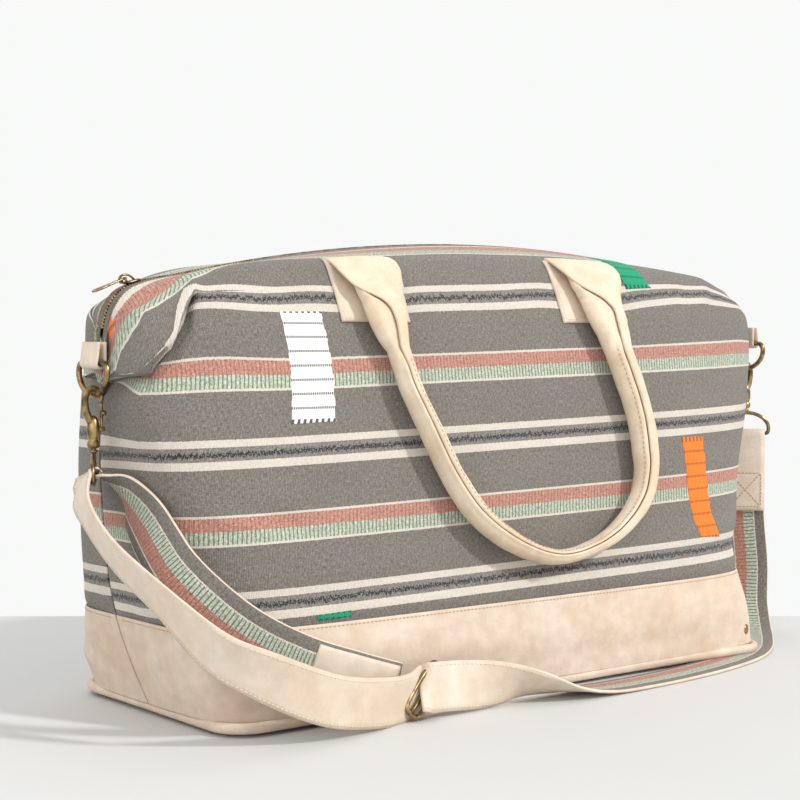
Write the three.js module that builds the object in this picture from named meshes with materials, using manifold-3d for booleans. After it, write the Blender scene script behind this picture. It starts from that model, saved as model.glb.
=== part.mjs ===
// A weekender bag: two striped cloth panels above a leather base, a zip along the top,
// two rolled leather handles and a shoulder strap on swivel snap hooks.
// Millimetres. +Z up, +X along the bag, -Y the front. The origin is on the ground
// under the middle of the base.
import * as THREE from 'three';
import { mergeVertices } from 'three/addons/utils/BufferGeometryUtils.js';
import Module from 'manifold-3d';

const wasm = await Module();
wasm.setup();

// ---------------------------------------------------------------- driving dimensions
const GAP = 0.3; // between pieces that touch
const CLOTH = 1.6; // thickness of the outer cloth, and of its leather band
const LINING = 1.0;
const LEATHER = 2.0;
const BASE_HALF_LENGTH = 281;
const BASE_HALF_DEPTH = 113;
const BASE_CORNER = 26;
const BASE_LIFT = 5; // the rim of the base stands this far off the ground
const BASE_RIM = 80; // width of the rim over which the base lifts
const BASE_PANEL = 2.2;
const BOARD = 3;
const BOARD_GAP = 1.2;
const PIPING_RADIUS = 3;
const LEATHER_BAND_TOP = 70; // measured up the cloth from the base seam
const BAND_BOTTOM = 7; // clear of the piping
// The panels stop this share of their length short of the end seams: next to nothing, and
// more at the top, where the ring tab covers the corner.
const SEAM_EDGE = { seam: 0.002, corner: 0.018, from: 200, to: 280 };
const ZIP_EDGE = 9; // half the width left open for the zip between the two panels
const ZIP_ARCH = { radius: 1396, top: 355, middle: 30, left: -300, right: 334 };
const ZIP_LEFT_END = [[-318, 264], [-317.5, 284], [-312, 303]];
const ZIP_RIGHT_END = [[345, 312], [354, 296], [358, 276]];
const TAPE_INNER = 2.3;
const TAPE_OUTER = 6.6;
const TAPE_THICKNESS = 1;
const TEETH_HEIGHT = 2.4;
const STRAP_WIDTH = 37;
const STRAP_THICKNESS = 2.6;
const RING_WIRE = 2.2;
const RING_DROP = 23.5; // from the ring's straight bar to the middle of its bow
const TAB_HALF_WIDTH = 12.5;
const EYE_WIRE = 1.8;
const EYE_BAR = -62; // the eye's lower bar, below the wire that the hook hangs on
const BUCKLE_WIRE = 1.9;
const ROLL_RADIUS = 10.5;
const ROLL_STANDOFF = 14.5; // from the cloth to the middle of the rolled handle
const FLARE_STANDOFF = 6.5; // the same for the flat part folded over the patch
const FLARE_THICKNESS = 3;
const PATCH_HALF_WIDTH = 37;
const PATCH_LOW = 303; // patch edges, measured up the cloth
const PATCH_HIGH = 366;
const PATCH_PLACES = [-112, 112];
// Middle of the rolled handle as it hangs: x, and distance up the cloth.
const HANDLE_ROUTE = [
  [-112, 302], [-107, 262], [-99, 235], [-89, 198], [-65, 152], [-29, 121], [22, 109],
  [78, 118], [125, 151], [146, 186], [139, 230], [124, 270], [112, 302],
];

// Where each swivel hook hangs: the ring's bar, and the level direction of the eye's bar.
const HOOKS = [
  { name: 'left', out: -1, x: -327, y: -2, z: 262, eye: [0.5, 0.866] },
  { name: 'right', out: 1, x: 367, y: -9, z: 273, eye: [0.75, -0.66] },
];

// Strap routes: the middle of the strap, then the direction across its width.
// The loop leaves the buckle, goes over the bar of the left eye and comes back.
const LOOP_ROUTE = [
  [-150, -143, 18, -0.72, -0.14, -0.68],
  [-180, -150, 18, -0.5, -0.05, -0.8],
  [-232, -162, 31, -0.35, 0.1, -0.93],
  [-289, -160, 56, -0.45, 0.2, -0.87],
  [-315, -150, 71, -0.55, 0.25, -0.8],
  [-337, -112, 104, -0.65, 0.35, -0.65],
  [-346, -62, 132, -0.6, 0.5, -0.6],
  [-345, -27, 155, -0.3, 0.75, -0.5],
  [-340, -9, 171, 0.2, 0.9, -0.2],
  [-334, -3, 178.5, 0.5, 0.866, 0],
  [-327, -2, 180.7, 0.5, 0.866, 0],
  [-320.5, -8, 177, 0.45, 0.88, -0.05],
  [-316, -20, 170, 0.3, 0.9, -0.2],
  [-315.5, -38, 162, 0.0, 0.9, -0.4],
  [-316, -57, 151, -0.3, 0.8, -0.5],
  [-318, -78, 137, -0.5, 0.6, -0.6],
  [-318, -98, 122, -0.6, 0.45, -0.65],
  [-311, -120, 105, -0.65, 0.35, -0.67],
  [-285, -136, 80, -0.5, 0.2, -0.84],
  [-243, -142, 57, -0.35, 0.1, -0.93],
  [-190, -137, 38, -0.45, -0.05, -0.88],
  [-150, -131, 25, -0.65, -0.12, -0.74],
];
// The long part hangs from the right eye, lands, passes under the lifted right corner of
// the base, lies along the front and turns over just before the buckle.
const MAIN_ROUTE = [
  [367, -9, 184, 0.75, -0.66, 0],
  [367, -9, 145, 0.75, -0.66, 0],
  [367.5, -9, 108, 0.75, -0.66, 0],
  [371, -11, 60, 0.75, -0.66, 0],
  [365, -16, 28, 0.75, -0.66, 0],
  [353, -30, 8, 0.75, -0.66, 0],
  [335, -48, 2, 0.72, -0.68, 0],
  [310, -70, 1.6, 0.7, -0.7, 0],
  [284, -91, 1.6, 0.66, -0.74, 0],
  [250, -111, 1.6, 0.55, -0.83, 0],
  [205, -126, 1.6, 0.3, -0.95, 0],
  [150, -137, 1.6, 0.12, -0.99, 0],
  [90, -143, 1.7, 0, -1, 0],
  [40, -146, 3, 0, -1, 0.03],
  [4, -148, 7, 0, -0.97, 0.22],
  [-36, -147, 16, 0, -0.75, 0.66],
  [-72, -143, 20, 0.15, -0.2, 0.97],
  [-104, -139, 20, 0.45, 0.1, 0.88],
];
const BUCKLE = { middle: [-129, -138, 21.8], across: [0.72, 0.14, 0.68], along: [0.694, -0.109, -0.713] };
const STUD = { x: 259, height: 19, radius: 4.5 };

// Level curves of the outer surface, from the base seam to the shoulder. Each one is a
// squared-off oval that is as long as halfLength on each side, and falls to endZ at the
// two end seams over the last endRun millimetres.
const LEVELS = [
  {
    z: 4, left: 281, right: 285, depth: 113, leftSquare: 9, rightSquare: 9,
    endZ: 4, endRun: 60, seamY: -5, endEase: 3, arch: 0,
  },
  {
    z: 40, left: 290, right: 284, depth: 114, leftSquare: 8, rightSquare: 7,
    endZ: 40, endRun: 60, seamY: 10, endEase: 3, arch: 0,
  },
  {
    z: 85, left: 299, right: 280, depth: 109, leftSquare: 6, rightSquare: 5.5,
    endZ: 85, endRun: 60, seamY: 22, endEase: 3, arch: 0,
  },
  {
    z: 140, left: 305, right: 302, depth: 101, leftSquare: 6, rightSquare: 4.2,
    endZ: 140, endRun: 60, seamY: 24, endEase: 3, arch: 0,
  },
  {
    z: 200, left: 310, right: 331, depth: 90, leftSquare: 6, rightSquare: 3.4,
    endZ: 198, endRun: 80, seamY: 20, endEase: 3, arch: 0,
  },
  {
    z: 250, left: 314, right: 349, depth: 79, leftSquare: 5, rightSquare: 3.1,
    endZ: 240, endRun: 110, seamY: 9, endEase: 3, arch: 0,
  },
  {
    z: 302, left: 317, right: 357, depth: 63, leftSquare: 4.5, rightSquare: 3,
    endZ: 254, endRun: 120, seamY: 1, endEase: 3, arch: 0,
  },
  {
    z: 344, left: 318, right: 358, depth: 38, leftSquare: 4, rightSquare: 3,
    endZ: 260, endRun: 110, seamY: -1, endEase: 2, arch: 3000,
  },
];

// ---------------------------------------------------------------- materials
const COLOURS = {
  cloth: ['#85807a', 0.95, 0],
  leather: ['#e0c9ae', 0.6, 0],
  lining: ['#cfc6b4', 0.95, 0],
  board: ['#8c7a62', 0.9, 0],
  tape: ['#8d877d', 0.9, 0],
  brass: ['#8a6f49', 0.38, 1],
};

function material(name) {
  const [color, roughness, metalness] = COLOURS[name];
  return new THREE.MeshStandardMaterial({ color, roughness, metalness });
}

// ---------------------------------------------------------------- helpers
const bag = new THREE.Group();
bag.name = 'weekender_bag';

function add(name, geometry, look) {
  const mesh = new THREE.Mesh(geometry, material(look));
  mesh.name = name;
  bag.add(mesh);
  return mesh;
}

function lerp(a, b, t) {
  return a + (b - a) * t;
}

// The polyline resampled to count points at equal distances.
function resample(points, count) {
  const lengths = [0];
  for (let i = 1; i < points.length; i += 1) {
    lengths.push(lengths[i - 1] + points[i].distanceTo(points[i - 1]));
  }
  const total = lengths[lengths.length - 1];
  const result = [];
  let k = 0;
  for (let i = 0; i < count; i += 1) {
    const d = (total * i) / (count - 1);
    while (k < points.length - 2 && lengths[k + 1] < d) k += 1;
    const t = (d - lengths[k]) / (lengths[k + 1] - lengths[k]);
    result.push(points[k].clone().lerp(points[k + 1], t));
  }
  return result;
}

// A closed slab: place(u, v, w) gives each corner of a unit block, with w its thickness.
// Its faces point out when u, v and w are right-handed.
function slab(columns, rows, place) {
  const geometry = new THREE.BoxGeometry(1, 1, 1, columns, rows, 1);
  const position = geometry.attributes.position;
  for (let i = 0; i < position.count; i += 1) {
    const u = position.getX(i) + 0.5;
    const v = position.getY(i) + 0.5;
    const w = position.getZ(i) + 0.5;
    const p = place(u, v, w);
    position.setXYZ(i, p.x, p.y, p.z);
  }
  geometry.computeVertexNormals();
  return geometry;
}

// A closed wire loop: a torus whose ring is laid along the points, all in one plane.
function wireLoop(points, planeNormal, radius, sides) {
  const steps = points.length;
  const geometry = new THREE.TorusGeometry(10, 1, sides, steps);
  const position = geometry.attributes.position;
  for (let i = 0; i <= steps; i += 1) {
    const here = points[i % steps];
    const ahead = points[(i + 1) % steps].clone().sub(here).normalize();
    const behind = here.clone().sub(points[(i + steps - 1) % steps]).normalize();
    const sideways = ahead.add(behind).cross(planeNormal).normalize();
    for (let j = 0; j <= sides; j += 1) {
      const angle = ((j % sides) / sides) * Math.PI * 2;
      const p = here.clone()
        .addScaledVector(sideways, radius * Math.cos(angle))
        .addScaledVector(planeNormal, radius * Math.sin(angle));
      position.setXYZ(j * (steps + 1) + i, p.x, p.y, p.z);
    }
  }
  return faceOut(geometry);
}

// Evenly spaced points on the smooth closed curve through a few.
function smoothLoop(points, count) {
  const curve = new THREE.CatmullRomCurve3(points, true, 'centripetal');
  return curve.getSpacedPoints(count).slice(0, count);
}

function toManifold(source) {
  const geometry = source.clone();
  geometry.deleteAttribute('normal');
  geometry.deleteAttribute('uv');
  const merged = mergeVertices(geometry, 1e-4);
  return new wasm.Manifold(new wasm.Mesh({
    numProp: 3,
    vertProperties: new Float32Array(merged.attributes.position.array),
    triVerts: new Uint32Array(merged.index.array),
  }));
}

function fromManifold(solid) {
  const mesh = solid.getMesh();
  const geometry = new THREE.BufferGeometry();
  geometry.setAttribute('position', new THREE.BufferAttribute(mesh.vertProperties, 3));
  geometry.setIndex(new THREE.BufferAttribute(mesh.triVerts, 1));
  geometry.computeVertexNormals();
  return geometry;
}

// Turns a closed geometry inside out if its faces point in.
function faceOut(geometry) {
  const position = geometry.attributes.position;
  const index = geometry.index;
  const a = new THREE.Vector3();
  const b = new THREE.Vector3();
  const c = new THREE.Vector3();
  let volume = 0;
  for (let i = 0; i < index.count; i += 3) {
    a.fromBufferAttribute(position, index.getX(i));
    b.fromBufferAttribute(position, index.getX(i + 1));
    c.fromBufferAttribute(position, index.getX(i + 2));
    volume += a.dot(b.cross(c));
  }
  if (volume < 0) {
    for (let i = 0; i < index.count; i += 3) {
      const keep = index.getX(i);
      index.setX(i, index.getX(i + 2));
      index.setX(i + 2, keep);
    }
  }
  geometry.computeVertexNormals();
  return geometry;
}

function union(...geometries) {
  return fromManifold(geometries.map(toManifold).reduce((sum, next) => sum.add(next)));
}

function cut(geometry, tool) {
  return fromManifold(toManifold(geometry).subtract(toManifold(tool)));
}

function mirrorFrontToBack(geometry) {
  return faceOut(geometry.clone().scale(1, -1, 1));
}

// A round bar between two points.
function rod(from, to, radius, sides = 12) {
  const line = new THREE.LineCurve3(from, to);
  const circle = new THREE.Shape().absarc(0, 0, radius, 0, Math.PI * 2);
  return new THREE.ExtrudeGeometry(circle, { steps: 1, curveSegments: sides, extrudePath: line });
}

function tube(points, radius, steps, sides) {
  const path = new THREE.CatmullRomCurve3(points, false, 'centripetal');
  const circle = new THREE.Shape().absarc(0, 0, radius, 0, Math.PI * 2);
  return new THREE.ExtrudeGeometry(circle, { steps, curveSegments: sides, extrudePath: path });
}

const V = (x, y, z) => new THREE.Vector3(x, y, z);

// ---------------------------------------------------------------- the zip line
function zipHeight(x) {
  const { radius, top, middle } = ZIP_ARCH;
  return top - radius + Math.sqrt(radius * radius - (x - middle) ** 2);
}

// The line of the zip: a shallow arch that turns down at both ends to the ring tabs.
function zipLine() {
  const points = ZIP_LEFT_END.map(([x, z]) => V(x, 0, z));
  const steps = 12;
  for (let i = 0; i <= steps; i += 1) {
    const x = lerp(ZIP_ARCH.left, ZIP_ARCH.right, i / steps);
    points.push(V(x, 0, zipHeight(x)));
  }
  ZIP_RIGHT_END.forEach(([x, z]) => points.push(V(x, 0, z)));
  return new THREE.CatmullRomCurve3(points, false, 'centripetal');
}

const ZIP = zipLine();

// Direction out of the bag, square to the zip line.
function zipOut(t) {
  const tangent = ZIP.getTangentAt(t);
  return V(-tangent.z, 0, tangent.x);
}

// ---------------------------------------------------------------- the bag's surface
const COLUMNS = 161;

// One level of the outer surface, from the left end seam round the front to the right
// one. seamSide is 1 for the front panel, and -1 for the rear one before it is mirrored.
function levelCurve(level, seamSide) {
  const points = [];
  const samples = 1600;
  const seamY = level.seamY * seamSide;
  const seamPoint = (reach, square) => {
    const x = reach * (1 - Math.abs(seamY / level.depth) ** square) ** (1 / square);
    return V(x, seamY, 0);
  };
  for (let i = 0; i <= samples; i += 1) {
    const angle = lerp(-Math.PI / 2 - 0.6, Math.PI / 2 + 0.6, i / samples);
    const sine = Math.sin(angle);
    const cosine = Math.cos(angle);
    const square = sine < 0 ? level.leftSquare : level.rightSquare;
    const reach = sine < 0 ? level.left : level.right;
    const x = reach * Math.sign(sine) * Math.abs(sine) ** (2 / square);
    const y = -level.depth * Math.sign(cosine) * Math.abs(cosine) ** (2 / square);
    if (y < seamY) points.push(V(x, y, 0));
  }
  points.unshift(seamPoint(-level.left, level.leftSquare));
  points.push(seamPoint(level.right, level.rightSquare));
  const even = resample(points, COLUMNS * 4);
  const step = even[1].distanceTo(even[0]);
  even.forEach((p, i) => {
    const toSeam = Math.min(i, even.length - 1 - i) * step;
    const rise = Math.min(toSeam / level.endRun, 1);
    const sag = level.arch ? (p.x - ZIP_ARCH.middle) ** 2 / (2 * level.arch) : 0;
    const ease = level.endEase;
    p.z = lerp(level.endZ, level.z - sag, (1 - (1 - rise) ** ease) ** (1 / ease));
  });
  return resample(even, COLUMNS);
}

function zipEdgeCurve() {
  const points = ZIP.getSpacedPoints(600);
  points.forEach((p, i) => {
    p.addScaledVector(zipOut(i / 600), 1.2);
    p.y = -ZIP_EDGE;
  });
  return resample(points, COLUMNS);
}

// Slopes for a smooth curve through one column of the level curves.
function columnSlopes(curves, knots, column) {
  const chord = [];
  for (let k = 0; k < curves.length - 1; k += 1) {
    const rise = curves[k + 1][column].clone().sub(curves[k][column]);
    chord.push(rise.divideScalar(knots[k + 1] - knots[k]));
  }
  return curves.map((curve, k) => {
    if (k === 0) return chord[0].clone();
    if (k === curves.length - 1) return chord[k - 1].clone();
    const before = knots[k] - knots[k - 1];
    const after = knots[k + 1] - knots[k];
    const mixed = chord[k - 1].clone().multiplyScalar(after);
    return mixed.addScaledVector(chord[k], before).divideScalar(before + after);
  });
}

// The smooth surface through the level curves, as a function of across, which runs from
// the left end seam (0) to the right one (1), of height, the distance up the cloth at
// mid length, and of depth, measured inward.
function makeSurface(seamSide) {
  const curves = [...LEVELS.map((level) => levelCurve(level, seamSide)), zipEdgeCurve()];
  const middle = (COLUMNS - 1) / 2;
  const knots = [0];
  for (let k = 1; k < curves.length; k += 1) {
    knots.push(knots[k - 1] + curves[k][middle].distanceTo(curves[k - 1][middle]));
  }
  const top = knots[knots.length - 1];
  const slopes = [];
  for (let column = 0; column < COLUMNS; column += 1) {
    slopes.push(columnSlopes(curves, knots, column));
  }

  function columnPoint(column, height) {
    let k = 0;
    while (k < knots.length - 2 && knots[k + 1] < height) k += 1;
    const span = knots[k + 1] - knots[k];
    const t = (height - knots[k]) / span;
    return V(0, 0, 0)
      .addScaledVector(curves[k][column], 2 * t ** 3 - 3 * t ** 2 + 1)
      .addScaledVector(slopes[column][k], (t ** 3 - 2 * t ** 2 + t) * span)
      .addScaledVector(curves[k + 1][column], 3 * t ** 2 - 2 * t ** 3)
      .addScaledVector(slopes[column][k + 1], (t ** 3 - t ** 2) * span);
  }

  function skin(across, height) {
    const c = THREE.MathUtils.clamp(across, 0, 1) * (COLUMNS - 1);
    const low = Math.min(Math.floor(c), COLUMNS - 2);
    return columnPoint(low, height).lerp(columnPoint(low + 1, height), c - low);
  }

  function at(across, height, depth = 0) {
    const point = skin(across, height);
    if (depth === 0) return point;
    const stepAcross = 0.004;
    const stepUp = 2;
    const left = skin(Math.max(across - stepAcross, 0), height);
    const right = skin(Math.min(across + stepAcross, 1), height);
    const below = skin(across, Math.max(height - stepUp, 0));
    const above = skin(across, Math.min(height + stepUp, top));
    const inward = above.sub(below).cross(right.sub(left)).normalize();
    return point.addScaledVector(inward, depth);
  }

  return { at, top };
}

const FRONT = makeSurface(1);
const REAR = makeSurface(-1);
const CLOTH_HEIGHT = FRONT.top;

// Where across the front cloth a given x lies, at a given height.
function acrossAt(x, height) {
  let low = 0.1;
  let high = 0.9;
  for (let i = 0; i < 30; i += 1) {
    const middle = (low + high) / 2;
    if (FRONT.at(middle, height).x < x) low = middle;
    else high = middle;
  }
  return (low + high) / 2;
}

// A sheet of the surface between two heights, from outer to inner depth.
// The columns are closer together near the end seams, where the surface bends most.
function sheet(side, columns, rows, heights, depths) {
  const crowded = (u) => lerp(u, (1 - Math.cos(Math.PI * u)) / 2, 0.7);
  return slab(columns, rows, (u, v, w) => {
    const height = lerp(heights[0], heights[1], v);
    const toCorner = THREE.MathUtils.smoothstep(height, SEAM_EDGE.from, SEAM_EDGE.to);
    const edge = lerp(SEAM_EDGE.seam, SEAM_EDGE.corner, toCorner);
    return side.at(lerp(edge, 1 - edge, crowded(u)), height, lerp(depths[1], depths[0], w));
  });
}

// ---------------------------------------------------------------- base
// Height of the underside of the base: flat in the middle, lifted round the rim.
function baseLift(x, y) {
  const toRim = Math.min(BASE_HALF_LENGTH - Math.abs(x), BASE_HALF_DEPTH - Math.abs(y));
  const t = THREE.MathUtils.clamp(1 - toRim / BASE_RIM, 0, 1);
  return BASE_LIFT * THREE.MathUtils.smoothstep(t, 0, 1);
}

// A plate with rounded corners that follows the underside of the base.
function basePlate(halfLength, halfDepth, lift, thickness) {
  const corner = (x, y) => {
    const dx = Math.max(Math.abs(x) - (halfLength - BASE_CORNER), 0);
    const dy = Math.max(Math.abs(y) - (halfDepth - BASE_CORNER), 0);
    const far = Math.max(dx, dy);
    const pull = far > 0 ? far / Math.hypot(dx, dy) : 1;
    return [x - Math.sign(x) * dx * (1 - pull), y - Math.sign(y) * dy * (1 - pull)];
  };
  return slab(14, 8, (u, v, w) => {
    const [x, y] = corner(lerp(-halfLength, halfLength, u), lerp(-halfDepth, halfDepth, v));
    return V(x, y, baseLift(x, y) + lift + w * thickness);
  });
}

function roundedLoop(halfLength, halfDepth, radius, z) {
  const points = [];
  const cornerSteps = 6;
  for (let quarter = 0; quarter < 4; quarter += 1) {
    const x = (quarter % 3 ? -1 : 1) * (halfLength - radius);
    const y = (quarter < 2 ? 1 : -1) * (halfDepth - radius);
    for (let i = 0; i <= cornerSteps; i += 1) {
      const angle = (quarter + i / cornerSteps) * Math.PI / 2;
      points.push(V(x + radius * Math.cos(angle), y + radius * Math.sin(angle), z));
    }
  }
  return points;
}

function addBase() {
  const inset = 1.5;
  add('base_panel', basePlate(BASE_HALF_LENGTH - 7, BASE_HALF_DEPTH - 7, 0, BASE_PANEL), 'leather');
  const boardLift = BASE_PANEL + BOARD_GAP;
  add('base_board', basePlate(BASE_HALF_LENGTH - 11, BASE_HALF_DEPTH - 11, boardLift, BOARD), 'board');
  const pipingZ = BASE_LIFT + PIPING_RADIUS - 1;
  const rim = roundedLoop(BASE_HALF_LENGTH - inset, BASE_HALF_DEPTH - inset, BASE_CORNER, pipingZ);
  add('base_piping', wireLoop(rim, V(0, 0, 1), PIPING_RADIUS, 8), 'leather');
}

// ---------------------------------------------------------------- cloth and leather skin
function addSkin() {
  const sides = [['front', FRONT, (g) => g], ['rear', REAR, mirrorFrontToBack]];
  sides.forEach(([name, side, turn]) => {
    const cloth = sheet(side, 36, 10, [LEATHER_BAND_TOP + GAP, CLOTH_HEIGHT], [0, CLOTH]);
    const band = sheet(side, 36, 2, [BAND_BOTTOM, LEATHER_BAND_TOP], [0, CLOTH]);
    add(`${name}_panel`, turn(cloth), 'cloth');
    add(`${name}_leather_band`, turn(band), 'leather');
  });
}

// The lining is one bag of its own: a lathe cup, laid inside the skin.
function addLining() {
  const segments = 40;
  const heights = [14, 50, 85, 120, 160, 210, 260, 300, 328];
  const clearance = 7; // folds keep it this far inside the skin
  const profile = [[0, 0, 0], [1, 0, 0]];
  heights.forEach((h) => profile.push([2, h, 0]));
  [...heights].reverse().forEach((h) => profile.push([2, h, LINING]));
  profile.push([1, 0, LINING], [0, 0, LINING]);
  const outline = profile.map(([reach, h, inset]) => new THREE.Vector2(reach - inset / 4, h));
  const geometry = new THREE.LatheGeometry(outline, segments);
  const position = geometry.attributes.position;
  const floor = BASE_PANEL + BOARD + 2 * BOARD_GAP;
  for (let i = 0; i <= segments; i += 1) {
    const turn = (i % segments) / segments;
    const front = turn < 0.5;
    const side = front ? FRONT : REAR;
    profile.forEach(([reach, h, inset], j) => {
      const height = h || heights[0];
      const p = side.at(front ? turn * 2 : 2 - turn * 2, height);
      const halfDepth = Math.abs(side.at(0.5, height).y);
      const pull = clearance + inset;
      p.x *= 1 - pull / BASE_HALF_LENGTH;
      p.y *= (1 - pull / halfDepth) * (front ? 1 : -1);
      if (reach < 2) {
        p.x *= reach * 0.97;
        p.y *= reach * 0.97;
        p.z = floor + baseLift(p.x, p.y) + inset;
      }
      position.setXYZ(i * profile.length + j, p.x, p.y, p.z);
    });
  }
  add('lining', faceOut(geometry), 'lining');
}

// ---------------------------------------------------------------- zip
// A strip along the zip line between two distances from its middle.
function zipStrip(inner, outer, low, high, steps) {
  const ends = [0.03, 0.97]; // under the ring tabs
  return slab(steps, 1, (u, v, w) => {
    const t = lerp(ends[0], ends[1], u);
    const p = ZIP.getPointAt(t).addScaledVector(zipOut(t), lerp(low, high, w));
    p.y = lerp(inner, outer, v);
    return p;
  });
}

function addZip() {
  const tapeLow = 0.2;
  const tape = zipStrip(-TAPE_OUTER, -TAPE_INNER, tapeLow, tapeLow + TAPE_THICKNESS, 30);
  const teeth = zipStrip(-TAPE_INNER + GAP, -0.15, -0.5, TEETH_HEIGHT - 0.5, 30);
  add('front_zip_tape', tape, 'tape');
  add('rear_zip_tape', mirrorFrontToBack(tape), 'tape');
  add('front_zip_teeth', teeth, 'brass');
  add('rear_zip_teeth', mirrorFrontToBack(teeth), 'brass');
}

// The slider rides on the teeth at the left end of the arch. Its pull lies against the
// falling end of the zip, hinged on a loop on top of the slider.
const SLIDER_X = ZIP_ARCH.left + 7;
const PULL_HINGE = [-6, 7.5]; // along and above the slider, from its middle on the zip line

function onSlider(geometry) {
  const lean = Math.asin((SLIDER_X - ZIP_ARCH.middle) / ZIP_ARCH.radius);
  return geometry.rotateY(lean).translate(SLIDER_X, 0, zipHeight(SLIDER_X));
}

function addZipSlider() {
  const low = TEETH_HEIGHT + 1;
  const [hingeX, hingeZ] = PULL_HINGE;
  const plate = new THREE.BoxGeometry(14, 9, 1.6).translate(0, 0, low + 0.8);
  const pin = rod(V(hingeX, -3.6, hingeZ), V(hingeX, 3.6, hingeZ), 0.7, 8);
  const arms = [-3.2, 3.2].map((y) => {
    const height = hingeZ + 0.8 - low;
    return new THREE.BoxGeometry(1.6, 1, height).translate(hingeX, y, low + height / 2);
  });
  add('zip_slider', onSlider(union(plate, pin, ...arms)), 'brass');
}

function addZipPull() {
  const [hingeX, hingeZ] = PULL_HINGE;
  const fall = THREE.MathUtils.degToRad(8); // the pull droops this far below the slider
  const outline = new THREE.Shape();
  outline.moveTo(1.9, -2);
  outline.lineTo(1.9, 2);
  outline.lineTo(-14, 2.6);
  outline.absarc(-24, 0, 3.4, Math.PI / 2, Math.PI * 1.5);
  outline.lineTo(-14, -2.6);
  outline.closePath();
  const eye = new THREE.Path();
  eye.absarc(0, 0, 1.15, 0, Math.PI * 2, true);
  const plate = new THREE.ExtrudeGeometry(outline, { depth: 1.6, bevelEnabled: false, curveSegments: 6 });
  plate.translate(0, 0, -0.8);
  const slot = rod(V(0, -3, 0), V(0, 3, 0), 1.1, 8);
  const ring = new THREE.CylinderGeometry(1.9, 1.9, 4, 12).translate(0, 0, 0);
  const pull = cut(union(plate, ring), slot);
  pull.rotateY(-fall).translate(hingeX, 0, hingeZ);
  add('zip_pull', onSlider(pull), 'brass');
}

// ---------------------------------------------------------------- rings, tabs and hooks
function addRingTab({ name, out, x, y, z }) {
  const outer = 4.8;
  const outline = new THREE.Shape();
  outline.absarc(0, 0, outer, Math.PI, Math.PI * 2);
  outline.lineTo(1.6, 8);
  outline.lineTo(0.4, 15);
  outline.lineTo(-outer, 15);
  outline.closePath();
  const hole = new THREE.Path().absarc(0, 0, RING_WIRE + 0.5, 0, Math.PI * 2, true);
  outline.holes.push(hole);
  const width = 2 * TAB_HALF_WIDTH;
  const tab = new THREE.ExtrudeGeometry(outline, { depth: width, bevelEnabled: false, curveSegments: 8 });
  tab.translate(0, 0, -TAB_HALF_WIDTH).rotateX(Math.PI / 2);
  if (out < 0) tab.rotateZ(Math.PI);
  tab.translate(x, y, z);
  add(`${name}_ring_tab`, tab, 'leather');
}

function addDRing({ name, x, y, z }) {
  const half = [
    [0, 0], [14, 0], [19, -1.4], [21, -6], [19.6, -12.5], [14.5, -18.6], [7.5, -22.4],
  ];
  const left = half.slice(1).reverse().map(([a, b]) => [-a, b]);
  const points = [...half, [0, -RING_DROP], ...left].map(([a, b]) => V(x, y + a, z + b));
  const ring = wireLoop(smoothLoop(points, 32), V(1, 0, 0), RING_WIRE, 6);
  add(`${name}_d_ring`, ring, 'brass');
}

// The hook is drawn with the ring's bow at the origin and the bag towards -X.
function placeHook(geometry, { out, x, y, z }) {
  if (out < 0) geometry.scale(-1, 1, 1);
  return faceOut(geometry.translate(x, y, z - RING_DROP));
}

function addSnapHook(hook) {
  const clawPath = [
    [1.5, -20], [5.2, -13], [6.6, -6], [5.8, 0.5], [1.2, 4.9], [-3.8, 3.6], [-6.4, -1], [-6.5, -5],
  ];
  const claw = tube(clawPath.map(([a, b]) => V(a, 0, b)), 2.3, 16, 4);
  const barrelProfile = [
    [0, -15], [2.6, -16], [4.6, -22], [4.6, -30], [3.6, -32.5], [4.6, -34.5], [4.6, -38],
    [2.3, -38], [2.3, -30], [0, -30],
  ];
  const barrel = new THREE.LatheGeometry(barrelProfile.map(([r, h]) => new THREE.Vector2(r, h)), 14);
  barrel.rotateX(Math.PI / 2);
  const lug = new THREE.BoxGeometry(6, 4.4, 3).translate(-6, 0, -24.5);
  const lugHole = rod(V(-6.5, 0, -27), V(-6.5, 0, -22), 1.7, 3);
  const body = cut(union(claw, faceOut(barrel), lug), lugHole);
  add(`${hook.name}_hook_body`, placeHook(body, hook), 'brass');

  const bolt = rod(V(-6.5, 0, -25.5), V(-6.5, 0, -5.6), 1.3, 3);
  const knob = new THREE.SphereGeometry(2.2, 8, 6).translate(-8, 0, -13);
  add(`${hook.name}_hook_gate`, placeHook(union(bolt, knob), hook), 'brass');
}

function addSwivelEye(hook) {
  const [dx, dy] = hook.eye;
  const half = [[0, -42.5], [9, -43.8], [17, -48], [21.4, -54], [21.6, -60.4]];
  const bottom = [[20.2, EYE_BAR], [8, EYE_BAR], [-8, EYE_BAR], [-20.2, EYE_BAR]];
  const other = half.slice(1).reverse().map(([a, b]) => [-a, b]);
  const flat = [...half, ...bottom, ...other];
  const at = ([a, b]) => V(hook.x + a * dx, hook.y + a * dy, hook.z - RING_DROP + b);
  const loop = wireLoop(smoothLoop(flat.map(at), 32), V(dy, -dx, 0).normalize(), EYE_WIRE, 6);
  const stem = rod(at([0, -42.5]), at([0, -31]), EYE_WIRE, 3);
  add(`${hook.name}_swivel_eye`, union(loop, stem), 'brass');
}

// ---------------------------------------------------------------- handles
function addPatches(name, turn) {
  PATCH_PLACES.forEach((place, i) => {
    const patch = slab(5, 4, (u, v, w) => {
      const height = lerp(PATCH_LOW, PATCH_HIGH, v);
      const narrow = lerp(1, 0.9, v);
      const x = place + lerp(-PATCH_HALF_WIDTH, PATCH_HALF_WIDTH, u) * narrow;
      return FRONT.at(acrossAt(x, height), height, lerp(-1.2, -1.2 - LEATHER, w));
    });
    add(`${name}_handle_patch_${i + 1}`, turn(patch), 'leather');
  });
}

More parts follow.
